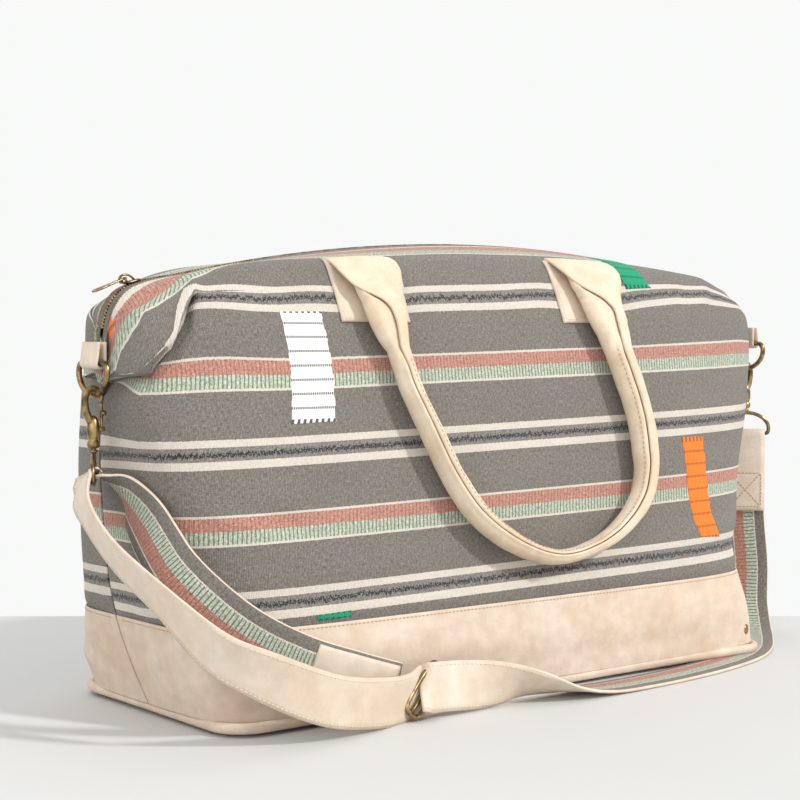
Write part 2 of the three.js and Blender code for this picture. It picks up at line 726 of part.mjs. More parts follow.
// Flat leather folded over the patch, narrowing down to the roll.
function handleFlare(place) {
  return slab(5, 6, (u, v, w) => {
    const height = lerp(HANDLE_ROUTE[0][1] - 8, PATCH_HIGH - 2, v);
    const halfWidth = lerp(8, PATCH_HALF_WIDTH - 4, v ** 0.8);
    const x = place + lerp(-halfWidth, halfWidth, u);
    const standoff = lerp(ROLL_STANDOFF, FLARE_STANDOFF, Math.sqrt(v));
    return FRONT.at(acrossAt(x, height), height, -standoff + lerp(0.5, -0.5, w) * FLARE_THICKNESS);
  });
}

function addHandle(name, turn) {
  const points = HANDLE_ROUTE.map(([x, h]) => FRONT.at(acrossAt(x, h), h, -ROLL_STANDOFF));
  const roll = tube(points, ROLL_RADIUS, 36, 3);
  add(`${name}_handle`, turn(union(roll, ...PATCH_PLACES.map(handleFlare))), 'leather');
}

// ---------------------------------------------------------------- shoulder strap
// A flat band along a route, with the same number of steps between each two points of it.
function ribbon(route, width, thickness) {
  const middle = new THREE.CatmullRomCurve3(route.map(([x, y, z]) => V(x, y, z)), false, 'centripetal');
  const across = new THREE.CatmullRomCurve3(route.map((row) => V(...row.slice(3))), false, 'centripetal');
  return slab(3 * (route.length - 1), 1, (u, v, w) => {
    const side = across.getPoint(u).normalize();
    const face = middle.getTangent(u).cross(side).normalize();
    return middle.getPoint(u)
      .addScaledVector(side, (v - 0.5) * width)
      .addScaledVector(face, (w - 0.5) * thickness);
  });
}

function addStrap() {
  add('strap_loop', ribbon(LOOP_ROUTE, STRAP_WIDTH, STRAP_THICKNESS), 'leather');
  add('strap_main', ribbon(MAIN_ROUTE, STRAP_WIDTH, STRAP_THICKNESS), 'leather');
}

// Leather sewn round the bar of the right eye, with the strap's end between its two leaves.
function addStrapEndTab() {
  const hook = HOOKS[1];
  const drop = 74;
  const inner = EYE_WIRE + 0.6;
  const outer = inner + 1.6;
  const width = STRAP_WIDTH - 2;
  const outline = new THREE.Shape();
  outline.moveTo(outer, -drop);
  outline.absarc(0, 0, outer, 0, Math.PI);
  outline.lineTo(-outer, -drop);
  outline.lineTo(-inner, -drop);
  outline.absarc(0, 0, inner, Math.PI, 0, true);
  outline.lineTo(inner, -drop);
  outline.closePath();
  const tab = new THREE.ExtrudeGeometry(outline, { depth: width, bevelEnabled: false, curveSegments: 8 });
  tab.translate(0, 0, -width / 2).rotateX(Math.PI / 2);
  tab.rotateZ(Math.atan2(hook.eye[1], hook.eye[0]) + Math.PI / 2);
  tab.translate(hook.x, hook.y, hook.z - RING_DROP + EYE_BAR);
  add('strap_end_tab', tab, 'leather');
}

function addStrapBuckle() {
  const middle = V(...BUCKLE.middle);
  const across = V(...BUCKLE.across);
  const along = V(...BUCKLE.along);
  const corners = [
    [-22, -4], [-22, 4], [-19, 6.5], [0, 6.5], [19, 6.5], [22, 4], [22, -4], [19, -6.5], [0, -6.5], [-19, -6.5],
  ];
  const at = ([a, b]) => middle.clone().addScaledVector(across, a).addScaledVector(along, b);
  const normal = across.clone().cross(along).normalize();
  add('strap_buckle', wireLoop(smoothLoop(corners.map(at), 30), normal, BUCKLE_WIRE, 6), 'brass');
}

// ---------------------------------------------------------------- the plain stud
function addStud() {
  const { x, height, radius } = STUD;
  const profile = [[0, 0], [radius, 0], [radius, 0.8], [radius * 0.6, 1.9], [0, 2.2]];
  const stud = new THREE.LatheGeometry(profile.map(([r, h]) => new THREE.Vector2(r, h)), 16);
  const across = acrossAt(x, height);
  const foot = FRONT.at(across, height, -0.5);
  const out = FRONT.at(across, height, -1.5).sub(foot).normalize();
  stud.applyQuaternion(new THREE.Quaternion().setFromUnitVectors(V(0, 1, 0), out));
  add('corner_stud', faceOut(stud.translate(foot.x, foot.y, foot.z)), 'brass');
}

addBase();
addSkin();
addLining();
addZip();
addZipSlider();
addZipPull();
HOOKS.forEach((hook) => {
  addRingTab(hook);
  addDRing(hook);
  addSnapHook(hook);
  addSwivelEye(hook);
});
addPatches('front', (geometry) => geometry);
addPatches('rear', mirrorFrontToBack);
addHandle('front', (geometry) => geometry);
addHandle('rear', mirrorFrontToBack);
addStrap();
addStrapEndTab();
addStrapBuckle();
addStud();

export default bag;
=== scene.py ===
"""The weekender bag's look: striped cloth, pale leather, antique brass, on a pale floor.

Shapes are worked out in millimetres, as in the CAD model, and written to meshes in metres.
"""

import math

import bpy
import numpy as np
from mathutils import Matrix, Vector


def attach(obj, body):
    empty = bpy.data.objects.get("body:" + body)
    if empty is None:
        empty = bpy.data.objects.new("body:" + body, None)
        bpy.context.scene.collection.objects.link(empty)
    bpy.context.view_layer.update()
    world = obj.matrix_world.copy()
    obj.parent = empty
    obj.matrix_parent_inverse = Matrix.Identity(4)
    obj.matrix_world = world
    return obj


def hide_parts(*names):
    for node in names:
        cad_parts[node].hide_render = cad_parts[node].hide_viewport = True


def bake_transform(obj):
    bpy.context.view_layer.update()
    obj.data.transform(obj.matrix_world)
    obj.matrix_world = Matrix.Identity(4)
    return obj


MM = 0.001
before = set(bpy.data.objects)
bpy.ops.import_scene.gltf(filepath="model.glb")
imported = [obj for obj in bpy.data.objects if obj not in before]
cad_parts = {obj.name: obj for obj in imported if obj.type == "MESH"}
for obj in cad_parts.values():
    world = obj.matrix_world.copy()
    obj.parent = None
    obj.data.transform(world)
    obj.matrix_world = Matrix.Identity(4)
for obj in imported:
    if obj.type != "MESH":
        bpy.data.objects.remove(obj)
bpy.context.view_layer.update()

# ------------------------------------------------------------------ driving dimensions (mm)
BASE_HALF_LENGTH = 281
BASE_HALF_DEPTH = 113
BASE_CORNER = 26
BASE_LIFT = 5
BASE_RIM = 80
BAND_TOP = 71
ZIP_EDGE = 9
ZIP_ARCH = {"radius": 1396, "top": 355, "middle": 30, "left": -300, "right": 334}
ZIP_LEFT_END = [[-318, 264], [-317.5, 284], [-312, 303]]
ZIP_RIGHT_END = [[345, 312], [354, 296], [358, 276]]
COLUMNS = 321
CLOTH_LENGTH = 780  # along the cloth from one end seam to the other
STRAP_WIDTH = 37
STRAP_THICKNESS = 2.6
RING_DROP = 23.5
EYE_BAR = -62

# Level curves of the skin: height, reach to the left and right, half depth, squareness of
# the left and right corners, height at the end seams and how far from them the fall starts,
# where the end seam lies, how round the fall is, and the radius of the level's own arch.
LEVEL_KEYS = "z left right depth left_square right_square end_z end_run seam_y ease arch".split()
LEVELS = [
    dict(zip(LEVEL_KEYS, row))
    for row in [
        (4, 281, 285, 113, 9, 9, 4, 60, -5, 3, 0),
        (40, 290, 284, 114, 8, 7, 40, 60, 10, 3, 0),
        (85, 299, 280, 109, 6, 5.5, 85, 60, 22, 3, 0),
        (140, 305, 302, 101, 6, 4.2, 140, 60, 24, 3, 0),
        (200, 310, 331, 90, 6, 3.4, 198, 80, 20, 3, 0),
        (250, 314, 349, 79, 5, 3.1, 240, 110, 9, 3, 0),
        (302, 317, 357, 63, 4.5, 3, 254, 120, 1, 3, 0),
        (344, 318, 358, 38, 4, 3, 260, 110, -1, 2, 3000),
    ]
]
HANDLE_ROUTE = [
    (-114, 261), (-109, 240), (-95, 206), (-78, 168), (-55, 137), (-19, 113), (17, 102), (55, 106),
    (91, 120), (119, 143), (129, 165), (131, 182), (131, 203), (128, 223), (122, 248), (116, 271),
]
HOOKS = [
    {"name": "left", "out": -1, "at": (-327, -2, 262), "eye": (0.5, 0.866)},
    {"name": "right", "out": 1, "at": (367, -9, 273), "eye": (0.75, -0.66)},
]
BUCKLE = {"middle": (-129, -138, 21.8), "across": (0.72, 0.14, 0.68), "along": (0.694, -0.109, -0.713)}

# The strap's route in metres, then the direction across its width: the loop over the left
# eye, and the long part from the right eye to the buckle.
# Both run past the ends of the CAD's strap, into the buckle, and the loop's outer strand
# is turned more edge-on than in the CAD.
LOOP_ROUTE = [
    (-0.112, -0.1345, 0.0215, -0.72, -0.14, -0.68),
    (-0.130, -0.1345, 0.0205, -0.72, -0.14, -0.68),
    (-0.150, -0.140, 0.018, -0.72, -0.14, -0.68),
    (-0.180, -0.150, 0.0205, -0.5, -0.05, -0.8),
    (-0.232, -0.162, 0.031, -0.35, 0.1, -0.93),
    (-0.289, -0.160, 0.056, -0.2, 0.5, -0.83),
    (-0.315, -0.150, 0.071, -0.05, 0.65, -0.72),
    (-0.337, -0.112, 0.104, 0.22, 0.75, -0.52),
    (-0.346, -0.062, 0.132, 0.3, 0.8, -0.4),
    (-0.345, -0.027, 0.155, 0.3, 0.86, -0.3),
    (-0.340, -0.009, 0.171, 0.2, 0.9, -0.2),
    (-0.334, -0.003, 0.1785, 0.5, 0.866, 0),
    (-0.327, -0.002, 0.1807, 0.5, 0.866, 0),
    (-0.3205, -0.008, 0.177, 0.45, 0.88, -0.05),
    (-0.316, -0.020, 0.170, 0.3, 0.9, -0.2),
    (-0.3155, -0.038, 0.162, 0.0, 0.9, -0.4),
    (-0.316, -0.057, 0.151, -0.3, 0.8, -0.5),
    (-0.318, -0.078, 0.137, -0.5, 0.6, -0.6),
    (-0.318, -0.098, 0.122, -0.6, 0.45, -0.65),
    (-0.311, -0.120, 0.105, -0.65, 0.35, -0.67),
    (-0.285, -0.136, 0.080, -0.5, 0.2, -0.84),
    (-0.243, -0.142, 0.057, -0.35, 0.1, -0.93),
    (-0.190, -0.137, 0.038, -0.45, -0.05, -0.88),
    (-0.150, -0.131, 0.025, -0.65, -0.12, -0.74),
]
MAIN_ROUTE = [
    (0.367, -0.009, 0.184, 0.75, -0.66, 0),
    (0.367, -0.009, 0.145, 0.75, -0.66, 0),
    (0.3675, -0.009, 0.108, 0.75, -0.66, 0),
    (0.371, -0.011, 0.060, 0.75, -0.66, 0),
    (0.365, -0.016, 0.028, 0.75, -0.66, 0),
    (0.353, -0.030, 0.008, 0.75, -0.66, 0),
    (0.335, -0.048, 0.002, 0.72, -0.68, 0),
    (0.310, -0.070, 0.0016, 0.7, -0.7, 0),
    (0.284, -0.091, 0.0016, 0.66, -0.74, 0),
    (0.250, -0.111, 0.0016, 0.55, -0.83, 0),
    (0.205, -0.126, 0.0016, 0.3, -0.95, 0),
    (0.150, -0.137, 0.0016, 0.12, -0.99, 0),
    (0.090, -0.143, 0.0017, 0, -1, 0),
    (0.040, -0.146, 0.003, 0, -1, 0.03),
    (0.004, -0.148, 0.007, 0, -0.97, 0.22),
    (-0.036, -0.147, 0.016, 0, -0.75, 0.66),
    (-0.072, -0.143, 0.020, 0.15, -0.2, 0.97),
    (-0.104, -0.139, 0.022, 0.5, 0.12, 0.84),
    (-0.128, -0.1405, 0.0235, 0.68, 0.14, 0.72),
    (-0.134, -0.1375, 0.0232, 0.72, 0.14, 0.68),
]


# ------------------------------------------------------------------ camera
def make_camera():
    data = bpy.data.cameras.new("camera")
    data.lens = 81
    data.sensor_width = 36
    camera = bpy.data.objects.new("camera", data)
    camera.location = (-0.951, -1.160, 0.285)
    camera.rotation_euler = (math.radians(90 - 2.2), 0, math.radians(-38))
    bpy.context.scene.collection.objects.link(camera)
    bpy.context.scene.camera = camera


# ------------------------------------------------------------------ curves and meshes
def unit(v):
    v = np.asarray(v, float)
    return v / np.maximum(np.linalg.norm(v, axis=-1, keepdims=True), 1e-12)


def smoothstep(x, low, high):
    t = np.clip((np.asarray(x, float) - low) / (high - low), 0, 1)
    return t * t * (3 - 2 * t)


def resample(points, count):
    """The polyline at count evenly spaced points."""
    steps = np.linalg.norm(np.diff(points, axis=0), axis=1)
    length = np.concatenate([[0], np.cumsum(steps)])
    even = np.linspace(0, length[-1], count)
    return np.stack([np.interp(even, length, points[:, k]) for k in range(points.shape[1])], 1)


def spline(points, per_segment, closed=False):
    """A centripetal Catmull-Rom curve through the points, as a polyline."""
    p = np.asarray(points, float)
    if closed:
        p = np.vstack([p[-1], p, p[0], p[1]])
    else:
        p = np.vstack([2 * p[0] - p[1], p, 2 * p[-1] - p[-2]])
    made = []
    for i in range(len(p) - 3):
        a, b, c, d = p[i:i + 4]
        gaps = [max(np.linalg.norm(n[:3] - m[:3]), 1e-9) ** 0.5 for m, n in ((a, b), (b, c), (c, d))]
        t1 = gaps[0]
        t2 = t1 + gaps[1]
        t3 = t2 + gaps[2]
        t = np.linspace(t1, t2, per_segment, endpoint=False)[:, None]
        ab = (t1 - t) / t1 * a + t / t1 * b
        bc = (t2 - t) / (t2 - t1) * b + (t - t1) / (t2 - t1) * c
        cd = (t3 - t) / (t3 - t2) * c + (t - t2) / (t3 - t2) * d
        abc = (t2 - t) / t2 * ab + t / t2 * bc
        bcd = (t3 - t) / (t3 - t1) * bc + (t - t1) / (t3 - t1) * cd
        made.append((t2 - t) / (t2 - t1) * abc + (t - t1) / (t2 - t1) * bcd)
    if not closed:
        made.append(p[-2:-1])
    return np.vstack(made)


def tangents(points, closed=False):
    if closed:
        return unit(np.roll(points, -1, 0) - np.roll(points, 1, 0))
    return unit(np.gradient(points, axis=0))


def grid_faces(rows, columns, wrap=False):
    """Quads over a rows x columns grid of points; wrap joins the last column to the first."""
    last = columns if wrap else columns - 1
    r, c = np.meshgrid(np.arange(rows - 1), np.arange(last), indexing="ij")
    n = (c + 1) % columns
    quads = np.stack([r * columns + c, r * columns + n, (r + 1) * columns + n, (r + 1) * columns + c], -1)
    return quads.reshape(-1, 4)


def mesh_object(name, points_mm, faces, uv_mm=None, looks=(), face_look=None):
    """A smooth-shaded object. faces is a list of arrays of equal-sided faces."""
    mesh = bpy.data.meshes.new(name)
    polygons = [face.tolist() for group in faces for face in group]
    mesh.from_pydata((np.asarray(points_mm) * MM).tolist(), [], polygons)
    mesh.polygons.foreach_set("use_smooth", [True] * len(mesh.polygons))
    if uv_mm is not None:
        layer = mesh.uv_layers.new(name="UVMap")
        corner = np.empty(len(mesh.loops), np.int32)
        mesh.loops.foreach_get("vertex_index", corner)
        layer.data.foreach_set("uv", (np.asarray(uv_mm)[corner] * MM).astype(np.float32).ravel())
    for look in looks:
        mesh.materials.append(look)
    if face_look is not None:
        mesh.polygons.foreach_set("material_index", np.asarray(face_look, np.int32))
    mesh.validate()
    mesh.update()
    obj = bpy.data.objects.new(name, mesh)
    bpy.context.scene.collection.objects.link(obj)
    return obj


def finish_piece(obj, body, nodes=()):
    if nodes:
        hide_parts(*nodes)
    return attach(obj, body) if body else obj


def shell(name, outer, inner, uv, look):
    """A closed sheet between two grids of points, each rows x columns x 3."""
    rows, columns = outer.shape[:2]
    count = rows * columns
    top = grid_faces(rows, columns)
    under = top[:, ::-1] + count
    index = np.arange(count).reshape(rows, columns)
    rim = np.concatenate([index[0], index[1:, -1], index[-1, -2::-1], index[-2:0:-1, 0]])
    after = np.roll(rim, -1)
    side = np.stack([after, rim, rim + count, after + count], 1)
    points = np.concatenate([outer.reshape(-1, 3), inner.reshape(-1, 3)])
    both_uv = np.concatenate([uv.reshape(-1, 2)] * 2)
    return mesh_object(name, points, [top, under, side], both_uv, [look])


def ring_sections(rings, close_path=False, caps=True):
    """Points and faces of a tube whose rings are sections x sides x 3."""
    sections, sides = rings.shape[:2]
    faces = [grid_faces(sections, sides, wrap=True)]
    if close_path:
        last = np.arange(sides) + (sections - 1) * sides
        first = np.arange(sides)
        faces.append(np.stack([last, np.roll(last, -1), np.roll(first, -1), first], 1))
    elif caps:
        faces.append(np.arange(sides)[None, ::-1])
        faces.append((np.arange(sides) + (sections - 1) * sides)[None])
    return rings.reshape(-1, 3), faces


def tube_rings(path, radius, sides=16, closed=False, normal=None):
    """Round sections along a path; radius is one number or one for each point."""
    path = np.asarray(path, float)
    t = tangents(path, closed)
    side = np.zeros_like(t)
    side[0] = unit(np.cross(t[0], normal if normal is not None else (0.31, 0.77, 0.56)))
    for i in range(1, len(path)):
        side[i] = unit(side[i - 1] - t[i] * (side[i - 1] @ t[i]))
    if normal is not None:
        side = unit(np.cross(t, normal))
    up = np.cross(side, t)
    angle = np.linspace(0, 2 * math.pi, sides, endpoint=False)
    radius = np.broadcast_to(radius, len(path))[:, None, None]
    circle = np.cos(angle)[None, :, None] * side[:, None] + np.sin(angle)[None, :, None] * up[:, None]
    return path[:, None] + radius * circle


def joined(parts):
    """One list of points and faces out of several."""
    points, faces, start = [], [], 0
    for p, f in parts:
        points.append(p)
        faces += [group + start for group in f]
        start += len(p)
    return np.concatenate(points), faces


def box_part(middle, x_axis, y_axis, z_axis, size):
    corners = []
    for k in (-0.5, 0.5):
        for i, j in ((-0.5, -0.5), (0.5, -0.5), (0.5, 0.5), (-0.5, 0.5)):
            offset = i * size[0] * np.array(x_axis) + j * size[1] * np.array(y_axis)
            corners.append(np.array(middle) + offset + k * size[2] * np.array(z_axis))
    faces = np.array([[3, 2, 1, 0], [4, 5, 6, 7], [0, 1, 5, 4], [1, 2, 6, 5], [2, 3, 7, 6], [3, 0, 4, 7]])
    return np.array(corners), [faces]


# ------------------------------------------------------------------ the bag's surface
def zip_height(x):
    r = ZIP_ARCH["radius"]
    return ZIP_ARCH["top"] - r + np.sqrt(r * r - (x - ZIP_ARCH["middle"]) ** 2)


def zip_line(count):
    arch = np.linspace(ZIP_ARCH["left"], ZIP_ARCH["right"], 13)
    points = ZIP_LEFT_END + [[x, zip_height(x)] for x in arch] + ZIP_RIGHT_END
    flat = [(x, 0, z) for x, z in points]
    return resample(spline(flat, 40), count)


def zip_out(line):
    t = tangents(line)
    return np.stack([-t[:, 2], np.zeros(len(t)), t[:, 0]], 1)


def level_curve(level, seam_side):
    angle = np.linspace(-math.pi / 2 - 0.6, math.pi / 2 + 0.6, 4001)
    sine, cosine = np.sin(angle), np.cos(angle)
    left = sine < 0
    square = np.where(left, level["left_square"], level["right_square"])
    reach = np.where(left, level["left"], level["right"])
    x = reach * np.sign(sine) * np.abs(sine) ** (2 / square)
    y = -level["depth"] * np.sign(cosine) * np.abs(cosine) ** (2 / square)
    seam_y = level["seam_y"] * seam_side
    keep = y < seam_y

    def seam_point(reach, square):
        return [reach * (1 - abs(seam_y / level["depth"]) ** square) ** (1 / square), seam_y, 0]

    inner = np.stack([x[keep], y[keep], np.zeros(keep.sum())], 1)
    ends = seam_point(-level["left"], level["left_square"]), seam_point(level["right"], level["right_square"])
    points = resample(np.vstack([ends[0], inner, ends[1]]), COLUMNS * 8)
    step = np.linalg.norm(points[1] - points[0])
    index = np.arange(len(points))
    rise = np.minimum(np.minimum(index, index[::-1]) * step / level["end_run"], 1)
    sag = (points[:, 0] - ZIP_ARCH["middle"]) ** 2 / (2 * level["arch"]) if level["arch"] else 0
    full = (1 - (1 - rise) ** level["ease"]) ** (1 / level["ease"])
    points[:, 2] = level["end_z"] + (level["z"] - sag - level["end_z"]) * full
    return resample(points, COLUMNS)


class Surface:
    """The skin from the left end seam (across 0) to the right one (across 1), by distance up
    the cloth. seam_side is 1 for the front, and -1 for the rear, which is then mirrored."""

    def __init__(self, seam_side):
        self.mirror = np.array([1, seam_side, 1])
        edge = zip_line(601)
        edge = edge + 1.2 * zip_out(edge)
        edge[:, 1] = -ZIP_EDGE
        curves = [level_curve(level, seam_side) for level in LEVELS]
        self.curves = np.array(curves + [resample(edge, COLUMNS)])
        middle = self.curves[:, COLUMNS // 2]
        self.knots = np.concatenate([[0], np.cumsum(np.linalg.norm(np.diff(middle, axis=0), axis=1))])
        self.top = self.knots[-1]
        span = np.diff(self.knots)[:, None, None]
        chord = np.diff(self.curves, axis=0) / span
        inner = (chord[:-1] * span[1:] + chord[1:] * span[:-1]) / (span[1:] + span[:-1])
        self.slopes = np.concatenate([chord[:1], inner, chord[-1:]])

    def point(self, across, height):
        across, height = np.broadcast_arrays(np.asarray(across, float), np.asarray(height, float))
        place = np.clip(across, 0, 1) * (COLUMNS - 1)
        low = np.minimum(place.astype(int), COLUMNS - 2)
        share = (place - low)[..., None]
        k = np.clip(np.searchsorted(self.knots, height, side="right") - 1, 0, len(self.knots) - 2)
        span = (self.knots[k + 1] - self.knots[k])[..., None]
        t = (height[..., None] - self.knots[k][..., None]) / span
        made = []
        for c in (low, low + 1):
            made.append(
                (2 * t**3 - 3 * t**2 + 1) * self.curves[k, c]
                + (t**3 - 2 * t**2 + t) * span * self.slopes[k, c]
                + (3 * t**2 - 2 * t**3) * self.curves[k + 1, c]
                + (t**3 - t**2) * span * self.slopes[k + 1, c]
            )
        return made[0] * (1 - share) + made[1] * share

    def outward(self, across, height):
        across, height = np.broadcast_arrays(np.asarray(across, float), np.asarray(height, float))
        left = self.point(np.maximum(across - 0.004, 0), height)
        right = self.point(np.minimum(across + 0.004, 1), height)
        below = self.point(across, np.maximum(height - 2, 0))
        above = self.point(across, np.minimum(height + 2, self.top))
        return unit(np.cross(right - left, above - below))

    def at(self, across, height, out=0.0):
        out = np.asarray(out, float)
        shifted = self.point(across, height) + self.outward(across, height) * out[..., None]
        return shifted * self.mirror

    def across_at(self, x, height):
        samples = np.linspace(0.08, 0.92, 400)
        return np.interp(x, self.point(samples, np.full(400, float(height)))[:, 0], samples)


FRONT = Surface(1)
REAR = Surface(-1)


# ------------------------------------------------------------------ materials
def rgb(red, green, blue):
    """Linear colour from display values 0 to 255."""
    linear = [((c / 255 + 0.055) / 1.055) ** 2.4 if c > 10 else c / 3294.6 for c in (red, green, blue)]
    return (*linear, 1)


GREY = rgb(116, 110, 103)
FLECK_GREY = rgb(124, 119, 113)
CREAM = rgb(206, 197, 185)
NAVY = rgb(24, 27, 42)
PINK = rgb(164, 108, 94)
PINK_LIGHT = rgb(190, 150, 134)
GREEN = rgb(108, 125, 108)
GREEN_LIGHT = rgb(186, 190, 172)
WHITE = rgb(246, 246, 246)
ORANGE = rgb(250, 122, 30)
EMERALD = rgb(0, 150, 108)


class Look:
    """A material under construction: small helpers over its shader nodes."""

    def __init__(self, name, roughness, **principled):
        self.material = bpy.data.materials.new(name)
        self.material.use_nodes = True
        self.nodes = self.material.node_tree.nodes
        self.links = self.material.node_tree.links
        self.shader = self.nodes["Principled BSDF"]
        self.shader.inputs["Roughness"].default_value = roughness
        for socket, value in principled.items():
            self.shader.inputs[socket.replace("_", " ")].default_value = value

    def node(self, kind, sockets=None, **settings):
        made = self.nodes.new("ShaderNode" + kind)
        for key, value in settings.items():
            setattr(made, key, value)
        for key, value in (sockets or {}).items():
            self.put(made.inputs[key], value)
        return made

    def put(self, socket, value):
        if isinstance(value, bpy.types.NodeSocket):
            self.links.new(value, socket)
        else:
            socket.default_value = value

    def math(self, operation, a, b=0.0, c=0.0):
        return self.node("Math", {0: a, 1: b, 2: c}, operation=operation).outputs[0]

    def mix(self, factor, a, b):
        made = self.node("Mix", {0: factor, 6: a, 7: b}, data_type="RGBA")
        return made.outputs[2]

    def multiply(self, color, factor):
        """Colour times a number."""
        grey = self.node("CombineColor", {0: factor, 1: factor, 2: factor}).outputs[0]
        mixed = self.node("Mix", {0: 1.0, 6: color, 7: grey}, data_type="RGBA", blend_type="MULTIPLY")
        return mixed.outputs[2]

    def ramp(self, value, stops, interpolation="LINEAR"):
        made = self.node("ValToRGB", {0: value})
        made.color_ramp.interpolation = interpolation
        points = made.color_ramp.elements
        while len(points) < len(stops):
            points.new(0.5)
        for point, (place, color) in zip(points, stops):
            point.position = place
            point.color = color if isinstance(color, tuple) else (color, color, color, 1)
        return made.outputs[0]

    def noise(self, vector, scale, detail=3.0, roughness=0.55):
        sockets = {"Vector": vector, "Scale": scale, "Detail": detail, "Roughness": roughness}
        return self.node("TexNoise", sockets).outputs[0]

    def uv_mm(self, u_scale=1.0, v_scale=1.0, shift=0.0):
        """The UV map in millimetres, stretched."""
        uv = self.node("UVMap", uv_map="UVMap").outputs[0]
        sockets = {0: uv, 1: (1000 * u_scale, 1000 * v_scale, 1), 2: (shift, shift, shift)}
        return self.node("VectorMath", sockets, operation="MULTIPLY_ADD").outputs[0]

    def split(self, vector):
        return self.node("SeparateXYZ", {0: vector}).outputs

    def ribs(self, along, period, sharp=0.15):
        """0 to 1 stripes across a coordinate in mm."""
        phase = self.math("FRACT", self.math("DIVIDE", along, period))
        wave = self.math("ABSOLUTE", self.math("SUBTRACT", phase, 0.5))
        return self.math("SMOOTH_MIN", self.math("MULTIPLY", wave, 2.0 / (1 - sharp)), 1.0, 0.1)

    def bump(self, *layers):
        """Height layers in mm as (value, millimetres)."""
        normal = None
        for value, depth in layers:
            sockets = {"Height": value, "Distance": depth * MM, "Strength": 1.0}
            if normal is not None:
                sockets["Normal"] = normal
            normal = self.node("Bump", sockets).outputs[0]
        self.links.new(normal, self.shader.inputs["Normal"])

    def done(self, color):
        self.put(self.shader.inputs["Base Color"], color)
        return self.material


def woven(look, color, u, strength=1.0):
    """Heather, slub and thread relief over a cloth colour."""
    fine = look.noise(look.uv_mm(0.95, 0.34), 1.0, 3.0, 0.75)
    weft = look.noise(look.uv_mm(0.3, 0.95, 31), 1.0, 2.0, 0.6)
    broad = look.noise(look.uv_mm(0.022, 0.03, 7), 1.0, 3.0)

    def spread(value, amount):
        return look.math("MULTIPLY_ADD", look.math("MULTIPLY", value, strength), amount, 1.0)

    shade = spread(look.math("SUBTRACT", fine, 0.5), 2.5)
    shade = look.math("MULTIPLY", shade, spread(look.math("SUBTRACT", weft, 0.5), 1.3))
    shade = look.math("MULTIPLY", shade, look.math("MULTIPLY_ADD", broad, 0.24, 0.88))
    threads = look.ribs(u, 1.25)
    look.bump((threads, 0.22), (fine, 0.35), (weft, 0.25))
    return look.multiply(color, shade)


# Places along the repeat of the striped cloth, in mm: the dark flecked band between two
# cream stripes, then green and pink between two cream lines. The repeat is 113 mm.
REPEAT = 113
CLOTH_BANDS = [
    (0, GREY), (17.25, CREAM), (23.6, FLECK_GREY), (33.6, CREAM), (38.9, GREY),
    (73.2, CREAM), (74.6, GREEN), (84.75, PINK), (94.9, CREAM), (96.3, GREY),
]


def striped_cloth(name):
    look = Look(name, 0.93, Sheen_Weight=0.12, Sheen_Roughness=0.6)
    plain = look.uv_mm()
    u, v, _ = look.split(plain)
    ragged = look.noise(look.uv_mm(0.9, 0.12, 3), 1.0, 2.0)
    v = look.math("ADD", v, look.math("MULTIPLY_ADD", ragged, 1.3, -0.65))
    place = look.math("FRACT", look.math("DIVIDE", look.math("ADD", v, 28.25 - 90 + REPEAT), REPEAT))
    color = look.ramp(place, [(at / REPEAT, band) for at, band in CLOTH_BANDS], "CONSTANT")
    # light ribs: strong in the green, weak in the pink
    ribbed = [(0, 0.0), (74.6 / REPEAT, 0.85), (84.75 / REPEAT, 0.5), (94.9 / REPEAT, 0.0)]
    weight = look.ramp(place, ribbed, "CONSTANT")
    light = look.ramp(place, [(0, GREEN_LIGHT), (84.75 / REPEAT, PINK_LIGHT)], "CONSTANT")
    wander = look.noise(look.uv_mm(0.25, 0.25, 5), 1.0, 2.0)
    rib = look.ribs(look.math("ADD", u, look.math("MULTIPLY", wander, 1.2)), 3.4, 0.35)
    rib_weight = look.math("MULTIPLY", look.math("GREATER_THAN", rib, 0.5), weight)
    color = look.mix(rib_weight, color, light)
    # the navy thread that wanders along the flecked band
    middle = look.math("SUBTRACT", look.math("MULTIPLY", place, REPEAT), 28.6)
    wave = look.noise(look.uv_mm(0.36, 0.02, 11), 1.0, 3.0, 0.8)
    offset = look.math("SUBTRACT", middle, look.math("MULTIPLY_ADD", wave, 13.0, -6.5))
    near = look.math("LESS_THAN", look.math("ABSOLUTE", offset), 1.7)
    loops = look.math("GREATER_THAN", look.noise(look.uv_mm(0.8, 0.7, 17), 1.0, 1.0), 0.43)
    inside = look.math("LESS_THAN", look.math("ABSOLUTE", middle), 4.4)
    navy = look.math("MULTIPLY", look.math("MULTIPLY", near, loops), inside)
    color = look.mix(look.math("MULTIPLY", navy, 0.93), color, NAVY)
    # cream threads are plainer than the heathered grey
    plainer = [(at / REPEAT, 0.25 if band is CREAM else 1.0) for at, band in CLOTH_BANDS]
    heather = look.ramp(place, plainer, "CONSTANT")
    return look.done(woven(look, color, u, heather))


